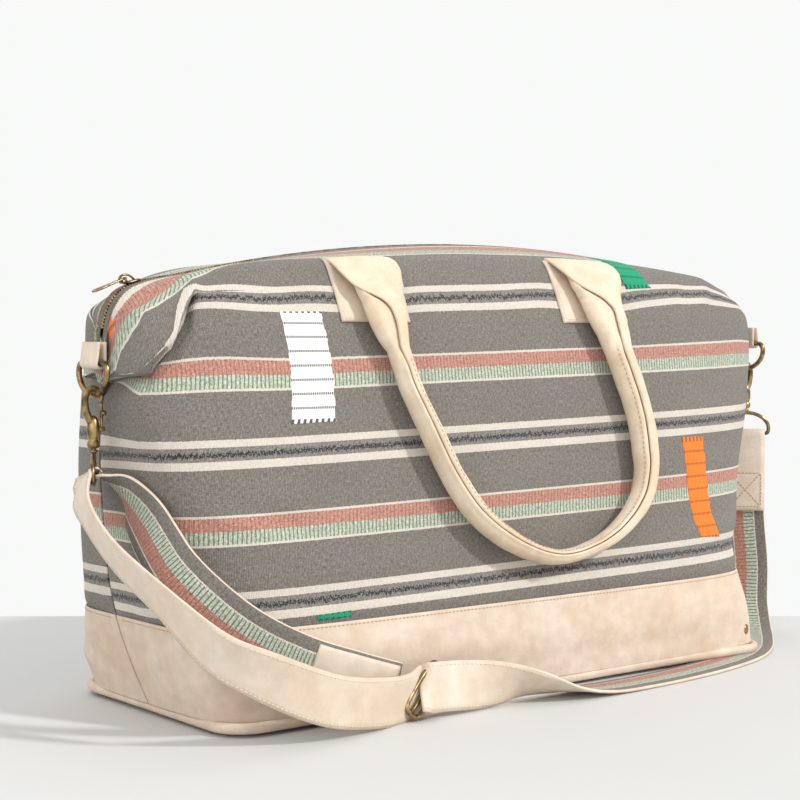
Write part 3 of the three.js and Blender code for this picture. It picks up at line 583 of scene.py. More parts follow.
def strap_cloth(name):
    """The strap's cloth face: the same colours, in stripes along its length."""
    look = Look(name, 0.93, Sheen_Weight=0.12, Sheen_Roughness=0.6)
    u, v, _ = look.split(look.uv_mm())
    stops = [
        (0, GREY), (5.5, CREAM), (6.6, PINK), (16.5, GREEN), (26, CREAM), (27.1, GREY),
    ]
    place = look.math("DIVIDE", v, STRAP_WIDTH)
    color = look.ramp(place, [(at / STRAP_WIDTH, band) for at, band in stops], "CONSTANT")
    ribbed = [(0, 0.0), (6.6 / STRAP_WIDTH, 0.4), (16.5 / STRAP_WIDTH, 0.95), (26 / STRAP_WIDTH, 0.0)]
    weight = look.ramp(place, ribbed, "CONSTANT")
    light = look.ramp(place, [(0, PINK_LIGHT), (16.5 / STRAP_WIDTH, GREEN_LIGHT)], "CONSTANT")
    rib = look.math("GREATER_THAN", look.ribs(u, 3.4, 0.35), 0.5)
    color = look.mix(look.math("MULTIPLY", rib, weight), color, light)
    return look.done(woven(look, color, u))


def plain_cloth(name, color, strength=0.6):
    look = Look(name, 0.95, Sheen_Weight=0.1)
    u, _, _ = look.split(look.uv_mm())
    return look.done(woven(look, color, u, strength))


def leather(name, tone, deep, roughness=0.5, wrinkle=0.5):
    """Pale vegetable-tanned leather: mottled, with fine grain and soft wrinkles."""
    look = Look(name, roughness, Coat_Weight=0.05, Coat_Roughness=0.4)
    place = look.node("TexCoord").outputs["Object"]
    cloud = look.noise(place, 22.0, 6.0, 0.62)
    blotch = look.noise(place, 90.0, 4.0, 0.6)
    patches = look.ramp(cloud, [(0.36, 0.0), (0.66, 1.0)])
    color = look.mix(patches, deep, tone)
    specks = look.ramp(blotch, [(0.4, 0.88), (0.62, 1.0)])
    mixed = look.node("Mix", {0: 0.6, 6: color, 7: specks}, data_type="RGBA", blend_type="MULTIPLY")
    color = mixed.outputs[2]
    grain = look.node("TexVoronoi", {"Vector": place, "Scale": 900.0}, feature="DISTANCE_TO_EDGE").outputs[0]
    pores = look.ramp(grain, [(0.0, 0.0), (0.18, 1.0)])
    creases = look.noise(place, 160.0, 5.0, 0.65)
    look.bump((creases, wrinkle), (pores, 0.08))
    rough = look.math("MULTIPLY_ADD", blotch, 0.25, roughness - 0.12)
    look.put(look.shader.inputs["Roughness"], rough)
    return look.done(color)


def antique_brass(name):
    look = Look(name, 0.3, Metallic=1.0)
    place = look.node("TexCoord").outputs["Object"]
    tarnish = look.noise(place, 120.0, 5.0, 0.6)
    patches = look.ramp(tarnish, [(0.38, 0.0), (0.68, 1.0)])
    color = look.mix(patches, rgb(96, 78, 54), rgb(196, 168, 122))
    look.put(look.shader.inputs["Roughness"], look.math("MULTIPLY_ADD", tarnish, 0.3, 0.16))
    look.bump((look.noise(place, 700.0, 2.0), 0.02))
    return look.done(color)


def thread_look(name, color):
    look = Look(name, 0.8)
    place = look.node("TexCoord").outputs["Object"]
    strand = look.noise(place, 1500.0, 2.0)
    look.bump((strand, 0.1))
    return look.done(look.multiply(color, look.math("MULTIPLY_ADD", strand, 0.4, 0.8)))


def inlay_look(name, color, gap_color, pitch, rows):
    """Dense weft inlay in blocks, with a dark dashed pick between two blocks."""
    look = Look(name, 0.95, Sheen_Weight=0.1)
    u, v, _ = look.split(look.uv_mm())
    knit = look.ribs(u, 1.9, 0.2)
    place = look.math("FRACT", look.math("DIVIDE", look.math("ADD", v, pitch * 0.5), pitch))
    distance = look.math("MULTIPLY", look.math("ABSOLUTE", look.math("SUBTRACT", place, 0.5)), pitch)
    pick = look.math("LESS_THAN", distance, 1.0)
    dash = look.math("GREATER_THAN", look.ribs(u, 1.9, 0.0), 0.3)
    # the first and last picks are long dashes of the inlay thread
    from_end = look.math("MINIMUM", v, look.math("SUBTRACT", rows * pitch, v))
    border = look.math("LESS_THAN", from_end, 2.4)
    long_dash = look.math("GREATER_THAN", look.ribs(u, 5.2, 0.0), 0.5)
    dark = look.math("MULTIPLY", look.math("MULTIPLY", pick, dash), look.math("SUBTRACT", 1.0, border))
    dark = look.math("MAXIMUM", dark, look.math("MULTIPLY", border, long_dash))
    shade = look.math("MULTIPLY_ADD", look.noise(look.uv_mm(1.2, 0.5), 1.0, 3.0), 0.24, 0.88)
    look.bump((knit, 0.3), (look.noise(look.uv_mm(0.8, 1.6, 9), 1.0, 2.0), 0.25))
    return look.done(look.multiply(look.mix(dark, color, gap_color), shade))


def floor_look():
    look = Look("floor_paper", 0.75)
    place = look.node("TexCoord").outputs["Object"]
    shade = look.math("MULTIPLY_ADD", look.noise(place, 3.0, 4.0), 0.05, 0.975)
    look.bump((look.noise(place, 400.0, 3.0), 0.05))
    return look.done(look.multiply((0.62, 0.62, 0.615, 1), shade))


CLOTH_LOOK = striped_cloth("striped_cloth")
STRAP_CLOTH_LOOK = strap_cloth("strap_cloth")
LEATHER_LOOK = leather("leather_band", rgb(222, 205, 188), rgb(208, 184, 162))
ROLL_LOOK = leather("leather_roll", rgb(236, 221, 200), rgb(220, 197, 168), 0.46, 0.9)
STRAP_LOOK = leather("leather_strap", rgb(226, 211, 194), rgb(216, 196, 174), 0.55, 0.4)
BRASS_LOOK = antique_brass("antique_brass")
THREAD_LOOK = thread_look("pale_thread", rgb(222, 208, 184))
TAN_THREAD_LOOK = thread_look("tan_thread", rgb(186, 158, 128))
TAPE_LOOK = plain_cloth("zip_tape", rgb(112, 104, 92))
LINING_LOOK = plain_cloth("cotton_lining", rgb(205, 196, 180))
BOARD_LOOK = plain_cloth("grey_board", rgb(150, 143, 134), 0.3)


# ------------------------------------------------------------------ the cloth panels
# Where a stripe pattern height lies on the cloth at mid length.
PATTERN = [
    (0, 0), (90.9, 90), (145.6, 146.5), (201.1, 203),
    (259.1, 259.5), (317, 316), (373.5, 372.5), (386.6, 386),
]

# The tuck at the front left shoulder. The upper cloth overhangs the lower one along the
# fold; these are share across, height of the fold's edge, height where the lower cloth
# shows again, and the pattern height at the fold's edge.
FOLD = [
    (0.000, 256, 252, 366), (0.051, 256, 253, 361), (0.064, 255.6, 253, 353), (0.077, 256, 253, 344.5),
    (0.083, 261, 258, 340), (0.093, 268, 265, 333.5), (0.100, 273, 270, 328.5), (0.107, 277, 274, 323),
    (0.113, 283.6, 281.2, 321), (0.119, 293.7, 287, 321),
    (0.126, 304.3, 295.3, 321), (0.131, 314.7, 305.5, 321),
    (0.134, 322, 316, 321), (0.140, 322, 321, 321), (0.160, 321.5, 321.4, 320.6),
]
# Heights of three stripe edges above the fold: the cream's upper edge, the green's lower
# edge and the edge between green and pink.
UPPER_KNOTS = [326.3, 361, 372.5]
UPPER = [
    (0.000, 257, 262, 266), (0.043, 257, 259, 276), (0.052, 257.5, 261, 290), (0.060, 257.5, 275, 297),
    (0.069, 257.5, 282, 306), (0.076, 258, 289, 313), (0.082, 262, 294, 317), (0.089, 266, 306, 323),
    (0.100, 275, 310, 339), (0.109, 284, 318, 347), (0.114, 296, 321, 351), (0.120, 312.5, 326, 356),
    (0.124, 328, 330, 359), (0.130, 329.5, 334, 364), (0.141, 329, 342, 370), (0.158, 328, 351, 372),
    (0.176, 328, 354, 372), (0.250, 327.5, 358, 371.5),
]
FOLD_LIFT = 6.5  # how far the upper cloth stands out over the fold
PANEL_COLUMNS = 420
LOWER_ROWS = 96
TUCK_ROWS = 14
UPPER_ROWS = 72


def table(rows, column, x):
    rows = np.asarray(rows, float)
    return np.interp(x, rows[:, 0], rows[:, column])


def hump(across, height, at, size, turn=0.0):
    """A smooth bump on the cloth, centred at (mm along, mm up), with half sizes in mm."""
    x = across * CLOTH_LENGTH - at[0]
    y = height - at[1]
    c, s = math.cos(math.radians(turn)), math.sin(math.radians(turn))
    return np.exp(-(((c * x + s * y) / size[0]) ** 2) - ((c * y - s * x) / size[1]) ** 2)


# Soft folds in the cloth: place (mm along, mm up), half size, turn in degrees, height in mm.
FRONT_FOLDS = [
    ((205, 350), (55, 11), -4, 2.5), ((140, 345), (34, 9), 12, 1.8), ((330, 352), (60, 10), 5, 1.6),
    ((300, 300), (30, 9), 0, -1.2), ((480, 352), (60, 12), 0, 1.6), ((640, 325), (8, 34), -28, 1.9),
    ((612, 318), (9, 30), -24, -1.5), ((690, 300), (10, 40), -18, 1.8), ((560, 300), (40, 9), 8, 1.2),
    ((170, 148), (30, 8), -18, -2.0), ((128, 150), (26, 8), -24, 1.8), ((110, 205), (30, 16), -20, 1.6),
    ((60, 226), (9, 38), 34, 2.2), ((400, 160), (120, 14), 3, 1.2), ((420, 110), (130, 12), 3, -1.0),
    ((640, 110), (90, 9), 4, 1.8), ((694, 120), (22, 18), 30, 2.4), ((720, 190), (14, 60), 6, 1.6),
    ((560, 210), (80, 14), 6, 0.9), ((240, 110), (90, 12), 3, 1.0), ((405, 86), (7, 10), 0, -2.6),
    ((417, 88), (5, 9), 10, 1.8), ((40, 120), (12, 60), 4, 1.4), ((350, 245), (90, 13), -3, 0.9),
]
REAR_FOLDS = [
    ((200, 340), (60, 12), -4, 2.0), ((480, 345), (70, 12), 5, 1.8), ((620, 300), (12, 44), -24, 1.8),
    ((120, 260), (12, 50), 20, 2.0), ((380, 170), (130, 14), 3, 1.4), ((250, 110), (90, 12), -3, 1.2),
    ((560, 120), (90, 12), 4, 1.6), ((700, 190), (14, 60), 6, 1.6), ((60, 190), (14, 60), -6, 1.6),
]


def relief(across, height, folds):
    """How far the cloth stands out from the CAD surface, in mm."""
    out = np.zeros(np.broadcast(across, height).shape)
    for at, size, turn, amount in folds:
        out = out + amount * hump(across, height, at, size, turn)
    # the cloth puckers a little over the leather seam and sinks into it
    along = across * CLOTH_LENGTH
    pucker = np.sin(along / 7.3 + 1.7 * np.sin(along / 41)) * 0.35
    near_seam = np.exp(-((height - BAND_TOP - 8) / 7) ** 2)
    out = out + near_seam * (pucker + 0.9) - 1.6 * np.exp(-((height - BAND_TOP) / 2.6) ** 2)
    ends = smoothstep(across, 0.0, 0.03) * (1 - smoothstep(across, 0.97, 1.0))
    return out * ends


def pattern_height(across, height):
    """The stripe pattern's height on the plain cloth: the stripes rise to the right."""
    rise = (6 + 0.044 * height) * (across - 0.5)
    # the cloth is drawn up along the fold and sags over the handle patches
    rise = rise + 6 * hump(across, height, (112, 318), (42, 60))
    rise = rise + 3 * hump(across, height, (200, 325), (34, 26))
    rise = rise - 4 * hump(across, height, (262, 316), (26, 22))
    rise = rise + 1.5 * hump(across, height, (430, 320), (30, 24))
    rise = rise - 6 * hump(across, height, (500, 314), (38, 24))
    rise = rise + 3 * hump(across, height, (610, 320), (40, 26))
    rise = rise + np.where(across < 0.07, 18 * (1 - across / 0.07), 0) * smoothstep(height, 190, 245)
    known = np.asarray(PATTERN, float)
    return np.interp(height - rise, known[:, 0], known[:, 1])


def crowded_columns(count, edge):
    """Shares across from edge to 1 - edge, closer together near both ends and the fold."""
    u = np.linspace(0, 1, count)
    u = 0.45 * u + 0.55 * (1 - np.cos(math.pi * u)) / 2
    return edge + (1 - 2 * edge) * u


def front_panel():
    across = crowded_columns(PANEL_COLUMNS, 0.0015)
    fold_top = table(FOLD, 1, across)
    fold_low = table(FOLD, 2, across)
    seam = 321.0
    # right of the fold the same grid row runs on, level, to the right seam
    after = smoothstep(across, 0.16, 0.3)
    fold_top = fold_top * (1 - after) + seam * after
    fold_low = np.where(across > 0.16, fold_top, fold_low)
    tucked = 1 - smoothstep(across, 0.128, 0.142)
    lift = FOLD_LIFT * (1 - smoothstep(across, 0.122, 0.15)) * smoothstep(across, 0.0, 0.055)
    sunk = 5.5 * tucked

    grid, uv = [], []

    def add_row(height, out, pattern):
        grid.append(FRONT.at(across, height, out))
        uv.append(np.stack([across * CLOTH_LENGTH, pattern], 1))

    for v in np.linspace(0, 1, LOWER_ROWS):
        height = BAND_TOP - 2 + (fold_low - BAND_TOP + 2) * v
        under = np.exp(-((height - fold_low) / 9) ** 2)
        out = relief(across, height, FRONT_FOLDS) * (1 - 0.8 * under * tucked) - sunk * under
        add_row(height, out, pattern_height(across, height))
    low_pattern = pattern_height(across, fold_low)
    fold_pattern = table(FOLD, 3, across) * tucked + pattern_height(across, fold_top) * (1 - tucked)
    low_out = relief(across, fold_low, FRONT_FOLDS) * (1 - 0.8 * tucked) - sunk
    top_out = relief(across, fold_top, FRONT_FOLDS) * (1 - tucked) + lift
    for v in np.linspace(0, 1, TUCK_ROWS + 2)[1:-1]:
        # in under the upper cloth and out again round its rolled edge
        deep = 12 * math.sin(math.pi * min(v * 1.25, 1.0)) * tucked
        height = fold_low + (fold_top - fold_low) * v + deep * 0.8
        roll = max(v - 0.7, 0) / 0.3
        out = low_out + (top_out - low_out) * roll**0.6 - 0.8 * deep * (1 - roll)
        add_row(height, out, low_pattern + (fold_pattern - low_pattern) * min(v / 0.6, 1.0))
    top_edge = FRONT.top - 0.3
    knots = np.stack([table(UPPER, k, across) for k in (1, 2, 3)])
    for v in np.linspace(0, 1, UPPER_ROWS):
        height = fold_top + (top_edge - fold_top) * v
        away = np.exp(-((height - fold_top) / 26) ** 2)
        round_edge = np.sqrt(np.clip((height - fold_top) / 3.0, 0, 1)) * 2.2 * tucked
        out = relief(across, height, FRONT_FOLDS) * (1 - tucked * away) + lift * away + round_edge * away
        plain = pattern_height(across, height)
        shaped = np.array([
            np.interp(h, [f, *k, top_edge + 1], [p, *UPPER_KNOTS, 385])
            for h, f, k, p in zip(height, fold_top, knots.T, table(FOLD, 3, across))
        ])
        share = 1 - smoothstep(across, 0.15, 0.24)
        add_row(height, out, plain * (1 - share) + shaped * share)
    return np.array(grid), np.array(uv)


def rear_panel():
    across = crowded_columns(300, 0.0015)
    heights = np.linspace(BAND_TOP - 2, REAR.top - 0.3, 120)
    a, h = np.meshgrid(across, heights)
    points = REAR.at(a, h, relief(a, h, REAR_FOLDS))
    uv = np.stack([a * CLOTH_LENGTH + 40, pattern_height(1 - a, h)], -1)
    return points, uv


def thick_sheet(name, points, uv, thickness, look, flip=False):
    """A sheet with an inner face, from a grid of points on its outer face."""
    along = np.gradient(points, axis=1)
    up = np.gradient(points, axis=0)
    normal = unit(np.cross(along, up))
    if flip:
        normal = -normal
    inner = points - normal * thickness
    if flip:
        points, inner, uv = points[:, ::-1], inner[:, ::-1], uv[:, ::-1]
    return shell(name, points, inner, uv, look)


def add_cloth():
    points, uv = front_panel()
    front = thick_sheet("front_cloth", points, uv, 1.4, CLOTH_LOOK)
    finish_piece(front, "bag", ["front_panel"])
    points, uv = rear_panel()
    rear = thick_sheet("rear_cloth", points, uv, 1.4, CLOTH_LOOK, flip=True)
    finish_piece(rear, "bag", ["rear_panel"])


# Inlays: corners as (across, height): left and right of the top and of the bottom.
INLAYS = [
    (
        "white_inlay", WHITE, rgb(96, 92, 90), 8,
        [(0.222, 302.5), (0.267, 303), (0.226, 217.5), (0.275, 218.5)], 0.004,
    ),
    (
        "orange_inlay", ORANGE, rgb(160, 84, 40), 8,
        [(0.746, 192.5), (0.783, 192), (0.772, 105), (0.808, 103)], 0.010,
    ),
    (
        "end_inlay", ORANGE, rgb(160, 84, 40), 4,
        [(0.030, 380), (0.0435, 381), (0.040, 284), (0.0475, 284)], 0.0,
    ),
    (
        "emerald_bit", EMERALD, rgb(16, 92, 72), 1,
        [(0.250, 77.5), (0.288, 78.5), (0.250, 73.5), (0.288, 74)], 0.0,
    ),
    (
        "emerald_inlay", EMERALD, rgb(16, 92, 72), 5,
        [(0.683, 380), (0.716, 380), (0.686, 327), (0.727, 329.5)], 0.004,
    ),
]


def inlay_grid(corners, bow):
    v, u = np.meshgrid(np.linspace(0, 1, 60), np.linspace(0, 1, 24), indexing="ij")
    left = np.stack([np.interp(v, [0, 1], [corners[0][k], corners[2][k]]) for k in (0, 1)], -1)
    right = np.stack([np.interp(v, [0, 1], [corners[1][k], corners[3][k]]) for k in (0, 1)], -1)
    place = left + (right - left) * u[..., None]
    # a slow bow, and edges that step in and out with each block
    step = 0.0008 * np.sign(np.sin(v * 8 * 2 * math.pi / 1.6 + 0.6)) * (u - 0.35)
    across = place[..., 0] + bow * (np.sin(math.pi * v) - 1.2 * np.sin(2 * math.pi * v) * 0.3) * -0.6 + step
    return across, place[..., 1]


def add_inlays():
    for name, color, gap_color, rows, corners, bow in INLAYS:
        across, height = inlay_grid(corners, bow)
        down = np.linspace(0, 1, 60)[:, None]
        along = np.linspace(0, 1, 24)[None]
        edge = np.minimum(np.minimum(down, 1 - down) * 8, np.minimum(along, 1 - along) * 6)
        lift = 0.15 + 0.45 * np.sqrt(np.clip(edge, 0, 1))
        base = relief(across, height, FRONT_FOLDS)
        if name == "emerald_inlay":
            base = base + 0.25
        points = FRONT.at(across, height, base + lift)[::-1]
        length = abs(corners[0][1] - corners[2][1])
        uv = np.stack([across * CLOTH_LENGTH, (height - corners[3][1]) / length * rows * 10.6], -1)[::-1]
        look = inlay_look(name + "_thread", color, gap_color, 10.6, rows)
        piece = thick_sheet(name, points, uv, 0.9, look)
        finish_piece(piece, "bag")


# ------------------------------------------------------------------ leather base
def capsule(start, end, out, width=0.9, height=0.55):
    """One stitch: a small rounded bar between two points, lying on a surface facing out."""
    start, end = np.asarray(start), np.asarray(end)
    t = unit(end - start)
    side = unit(np.cross(out, t))
    up = np.cross(t, side)
    rings = []
    for share, size in ((0, 0.45), (0.18, 1), (0.82, 1), (1, 0.45)):
        middle = start + (end - start) * share + up * (0.25 * height * size)
        angle = np.linspace(0, 2 * math.pi, 6, endpoint=False)[:, None]
        rings.append(middle + size * (np.cos(angle) * side * width / 2 + np.sin(angle) * up * height / 2))
    return ring_sections(np.array(rings))


def stitch_row(points, outs, length=2.6, pitch=3.7):
    """Stitches along a line of points, each facing its own direction."""
    points = np.asarray(points)
    steps = np.concatenate([[0], np.cumsum(np.linalg.norm(np.diff(points, axis=0), axis=1))])
    made = []
    for start in np.arange(1, steps[-1] - length, pitch):
        reach = (start, start + length)
        ends = [np.array([np.interp(d, steps, points[:, k]) for k in range(3)]) for d in reach]
        out = unit(np.array([np.interp(start, steps, outs[:, k]) for k in range(3)]))
        made.append(capsule(ends[0], ends[1], out))
    return made


def stitch_piece(name, rows, look, body):
    parts = [stitch for row in rows for stitch in row]
    points, faces = joined(parts)
    return finish_piece(mesh_object(name, points, faces, None, [look]), body)


BAND_FOLDS = [
    ((90, 34), (60, 9), 18, 2.2), ((150, 20), (70, 8), 14, -1.6), ((60, 50), (40, 8), 24, 1.2),
    ((400, 40), (200, 12), 2, 1.0), ((620, 36), (60, 14), -10, 1.2), ((250, 50), (60, 9), 8, 0.9),
    ((500, 22), (90, 7), 0, -0.8), ((700, 40), (14, 26), 0, 1.0),
]


def band_surface(side, a, h):
    out = np.zeros(a.shape)
    for at, size, turn, amount in BAND_FOLDS:
        out = out + amount * hump(a, h, at, size, turn)
    top = 0.9 * np.sqrt(np.clip((BAND_TOP + 0.6 - h) / 1.8, 0, 1))
    ends = smoothstep(a, 0.0, 0.02) * (1 - smoothstep(a, 0.98, 1.0))
    return side.at(a, h, out * ends * smoothstep(BAND_TOP - h, 0, 12) + top)


def add_bands():
    for name, side, flip in (("front", FRONT, False), ("rear", REAR, True)):
        across = crowded_columns(300, 0.0015)
        rolled_edge = BAND_TOP - np.array([2.2, 1.5, 0.9, 0.4, 0.0])
        heights = np.concatenate([np.linspace(5, BAND_TOP - 3, 44), rolled_edge])
        a, h = np.meshgrid(across, heights)
        points = band_surface(side, a, h)
        uv = np.stack([a * CLOTH_LENGTH, h], -1)
        band = thick_sheet(f"{name}_band", points, uv, 1.8, LEATHER_LOOK, flip)
        finish_piece(band, "bag", [f"{name}_leather_band"])
        a = np.linspace(0.01, 0.99, 500)
        h = np.full(a.shape, BAND_TOP - 2.6)
        line = band_surface(side, a, h)
        outs = unit(side.at(a, h, np.full(a.shape, 2.0)) - side.at(a, h))
        rows = [stitch_row(line, outs)]
        stitch_piece(f"{name}_band_stitches", rows, TAN_THREAD_LOOK, "bag")


def rounded_rectangle(half_length, half_depth, radius, steps=14):
    points = []
    for quarter in range(4):
        x = (-1 if quarter % 3 else 1) * (half_length - radius)
        y = (1 if quarter < 2 else -1) * (half_depth - radius)
        for angle in np.linspace(quarter * math.pi / 2, (quarter + 1) * math.pi / 2, steps):
            points.append((x + radius * math.cos(angle), y + radius * math.sin(angle), 0))
    return resample(np.array(points + points[:1]), 361)[:-1]


def base_lift(x, y):
    to_rim = np.minimum(BASE_HALF_LENGTH - np.abs(x), BASE_HALF_DEPTH - np.abs(y))
    return BASE_LIFT * smoothstep(1 - to_rim / BASE_RIM, 0, 1)


def base_sheet(name, inset, lift, thickness, look, node):
    outline = rounded_rectangle(BASE_HALF_LENGTH - inset, BASE_HALF_DEPTH - inset, BASE_CORNER)
    rings = []
    for share in np.linspace(1, 0.02, 24):
        ring = outline * [share**0.5, share**0.5, 1]
        ring[:, 2] = base_lift(ring[:, 0], ring[:, 1]) + lift
        rings.append(ring)
    points = np.array(rings)
    points = np.concatenate([points, points[:, :1]], axis=1)
    uv = points[..., :2].copy()
    above = points + np.array([0, 0, thickness])
    made = shell(name, above, points, uv, look)
    finish_piece(made, "bag", [node])


def add_base():
    base_sheet("base_leather", 5, 0.2, 2.2, LEATHER_LOOK, "base_panel")
    base_sheet("base_stiffener", 11, 3.4, 3, BOARD_LOOK, "base_board")
    rim = rounded_rectangle(BASE_HALF_LENGTH - 1.5, BASE_HALF_DEPTH - 1.5, BASE_CORNER)
    rim[:, 2] = BASE_LIFT + 1.8 + 0.4 * np.sin(np.linspace(0, 34, len(rim)))
    rings = tube_rings(rim, 1.0, 14, closed=True, normal=(0, 0, 1))
    rings = rim[:, None] + (rings - rim[:, None]) * np.array([3.4, 3.4, 4.0])
    points, faces = ring_sections(rings, close_path=True)
    piping = mesh_object("base_welt", points, faces, None, [LEATHER_LOOK])
    finish_piece(piping, "bag", ["base_piping"])


def add_lining():
    across = np.linspace(0, 1, 90)
    heights = np.concatenate([[12, 16, 22], np.linspace(30, 332, 40)])
    rings = []
    for h in heights:
        ring = []
        for side, order in ((FRONT, across), (REAR, across[::-1])):
            p = side.at(order, np.full(order.shape, h))
            depth = abs(side.at(np.array(0.5), np.array(h))[1])
            inset = 7 + (6 if h < 20 else 0)
            p = p * [1 - inset / BASE_HALF_LENGTH, 1 - inset / depth, 1]
            ring.append(p[:-1])
        rings.append(np.vstack(ring))
    points = np.array(rings)
    wrinkle = 1.2 * np.sin(points[..., 0] / 17 + points[..., 2] / 29)
    points[..., 1] += wrinkle * np.sign(points[..., 1]) * -1
    floor_points = [points[0] * [s, s, 0] + [0, 0, 11] for s in (0.05, 0.5, 0.9, 0.97)]
    points = np.concatenate([np.array(floor_points), points])
    points = np.concatenate([points, points[:, :1]], axis=1)
    uv_across = np.arange(points.shape[1])[None] * 9.0
    uv_down = np.arange(points.shape[0])[:, None] * 8.0
    uv = np.stack(np.broadcast_arrays(uv_across, uv_down), -1)
    inner = points * [0.997, 0.99, 1] + [0, 0, 0.6]
    made = shell("bag_lining", points, inner, uv, LINING_LOOK)
    finish_piece(made, "bag", ["lining"])


# ------------------------------------------------------------------ handles
# Half width and half depth of the rolled leather, by share of its length.
ROLL_WIDTH = [
    (0, 8.2), (0.15, 9.0), (0.3, 9.2), (0.42, 7.5), (0.5, 5.8), (0.6, 6), (0.72, 9), (0.8, 12), (1, 13.2),
]
ROLL_DEPTH = [(0, 9.5), (0.5, 10.5), (1, 10.5)]
ROLL_STANDOFF = 14.5
SECTION_POINTS = 44
LEATHER_SHEET = 1.9
# The open ends of the roll, where it spreads over its patch. For each height up the cloth:
# the roof's free edge (across, out), how far right it reaches, how far out its front and its
# back lie, and how far left the side wall reaches. Across is measured from the patch place.
FLARES = [
    (-112, [
        (352, -39, 4.0, 18, 4.5, 2.5, -20), (348, -39, 6.0, 22, 8.0, 2.5, -22),
        (342, -38.5, 8, 24, 10.5, 3, -24),
        (335, -37.5, 10, 24, 12.5, 3, -26), (327, -35, 12.5, 21, 15, 3, -27),
        (319, -31, 15, 18, 18, 3.5, -27),
        (313, -25, 17.5, 15, 20, 3.5, -26.5), (308, -19, 20, 12.5, 22, 4, -26),
        (303, -13, 22, 10, 23, 4, -25.5),
        (297, -9.5, 24, 8, 24, 4.5, -25), (290, -8, 25, 6, 24.5, 4.5, -23.5),
        (282, -7, 24.5, 5.5, 24, 5, -20.5),
        (275, -6.5, 23.5, 5, 23, 5.5, -16.5), (269, -6, 22.5, 5, 22.5, 6.5, -12),
    ]),
    (112, [
        (354, -35, 4, 33, 4.5, 2.5, -20), (349, -35, 6, 37, 8, 2.5, -22), (342, -33.5, 8.5, 39, 11, 3, -24),
        (335, -30.5, 11, 39, 13.5, 3, -25), (327, -25.5, 13.5, 35, 16, 3, -25),
        (320, -19, 16.5, 30, 18.5, 3.5, -24),
        (315, -13, 19, 26, 20.5, 3.5, -23), (309, -6, 21.5, 22, 22, 4, -22),
        (303, -2, 23.5, 18, 23.5, 4, -21),
        (297, 1, 25, 16, 24.5, 4.5, -20), (289, 1.5, 25, 16, 24.5, 5, -17.5),
        (280, 2.5, 24.5, 17, 24, 5.5, -13),
    ]),
]
PATCHES = [(-112, -41, 25), (112, -38, 38)]
PATCH_BOTTOM = 294
PATCH_TOP = 353


def flare_section(row):
    """The leather's line at one height, from the roof's free edge round to the inner end."""
    _, edge, edge_out, right, front, back, left = row
    width = right - left
    deep = front - back
    points = [
        (edge, edge_out), (edge + 0.35 * (right - edge), front),
        (edge + 0.8 * (right - edge), front - 0.08 * deep),
        (right, back + 0.5 * deep), (right - 0.2 * width, back), (left + 0.25 * width, back),
        (left, back + 0.38 * deep),
        (left + 0.3 * (max(edge, left + 4) - left), back + 0.8 * deep),
        (max(edge, left + 4) + 1, min(edge_out - 2.6, back + 0.88 * deep)),
    ]
    flat = [(x, y, 0) for x, y in points]
    return resample(spline(flat, 12), SECTION_POINTS)[:, :2]


def roll_section(half_width, half_depth, seam_angle):
    """The same line for the closed roll, in its own frame, with a raised lip at the seam."""
    turn = np.linspace(math.radians(3), math.radians(357), SECTION_POINTS)
    from_seam = np.degrees(np.minimum(turn, 2 * math.pi - turn))
    grow = 1 + 0.15 * np.exp(-((from_seam - 13) / 9) ** 2) - 0.05 * np.exp(-((from_seam - 3) / 4) ** 2)
    angle = seam_angle + turn
    return np.stack([half_width * grow * np.sin(angle), half_depth * grow * np.cos(angle)], 1)


def doubled(line, side=1):
    """The closed outline of a sheet of leather whose outer face follows the line."""
    t = unit(np.gradient(line, axis=0))
    inward = side * np.stack([t[:, 1], -t[:, 0]], 1)
    return np.concatenate([line, (line + inward * LEATHER_SHEET)[::-1]])


def handle_rings():
    rings, seams, seam_outs = [], [], []

    def flare(place, rows, backwards):
        made = []
        for row in rows:
            line = flare_section(row)
            section = doubled(line[::-1], -1) if backwards else doubled(line)
            across = FRONT.across_at(place + section[:, 0], row[0])
            made.append(FRONT.at(across, np.full(len(section), float(row[0])), section[:, 1]))
        return made

    first = flare(*FLARES[0], backwards=False)
    last = flare(*FLARES[1], backwards=True)
    smooth_first = loft(first, 5)
    smooth_last = loft(last, 5)

    across = [float(FRONT.across_at(x, h)) for x, h in HANDLE_ROUTE]
    heights = [h for _, h in HANDLE_ROUTE]
    flat = resample(spline([(a * CLOTH_LENGTH, h, 0) for a, h in zip(across, heights)], 14), 150)
    a, h = flat[:, 0] / CLOTH_LENGTH, flat[:, 1]
    path = FRONT.at(a, h, np.full(a.shape, ROLL_STANDOFF))
    out = FRONT.outward(a, h)
    t = tangents(path)
    out = unit(out - t * (out * t).sum(1)[:, None])
    side = np.cross(out, t)
    share = np.linspace(0, 1, len(path))
    want = unit(out + np.array([-0.45, 0, 0.4]))
    for i in range(len(path)):
        half_width = table(ROLL_WIDTH, 1, share[i])
        half_depth = table(ROLL_DEPTH, 1, share[i])
        seam = math.atan2(want[i] @ side[i], want[i] @ out[i])
        wobble = 1 + 0.02 * math.sin(i * 0.37) + 0.015 * math.sin(i * 0.91 + 1)
        section = doubled_closed(roll_section(half_width * wobble, half_depth, seam))
        rings.append(path[i] + section[:, :1] * side[i] + section[:, 1:] * out[i])
        edge = seam + math.radians(24)
        local = (half_width * 1.07 * math.sin(edge), half_depth * 1.07 * math.cos(edge))
        seams.append(path[i] + local[0] * side[i] + local[1] * out[i])
        seam_outs.append(unit(local[0] * side[i] + local[1] * out[i]))
    return list(smooth_first) + rings[2:-2] + list(smooth_last)[::-1], np.array(seams), np.array(seam_outs)


def doubled_closed(line):
    inner = line * (1 - LEATHER_SHEET / np.linalg.norm(line, axis=1))[:, None]
    return np.concatenate([line, inner[::-1]])


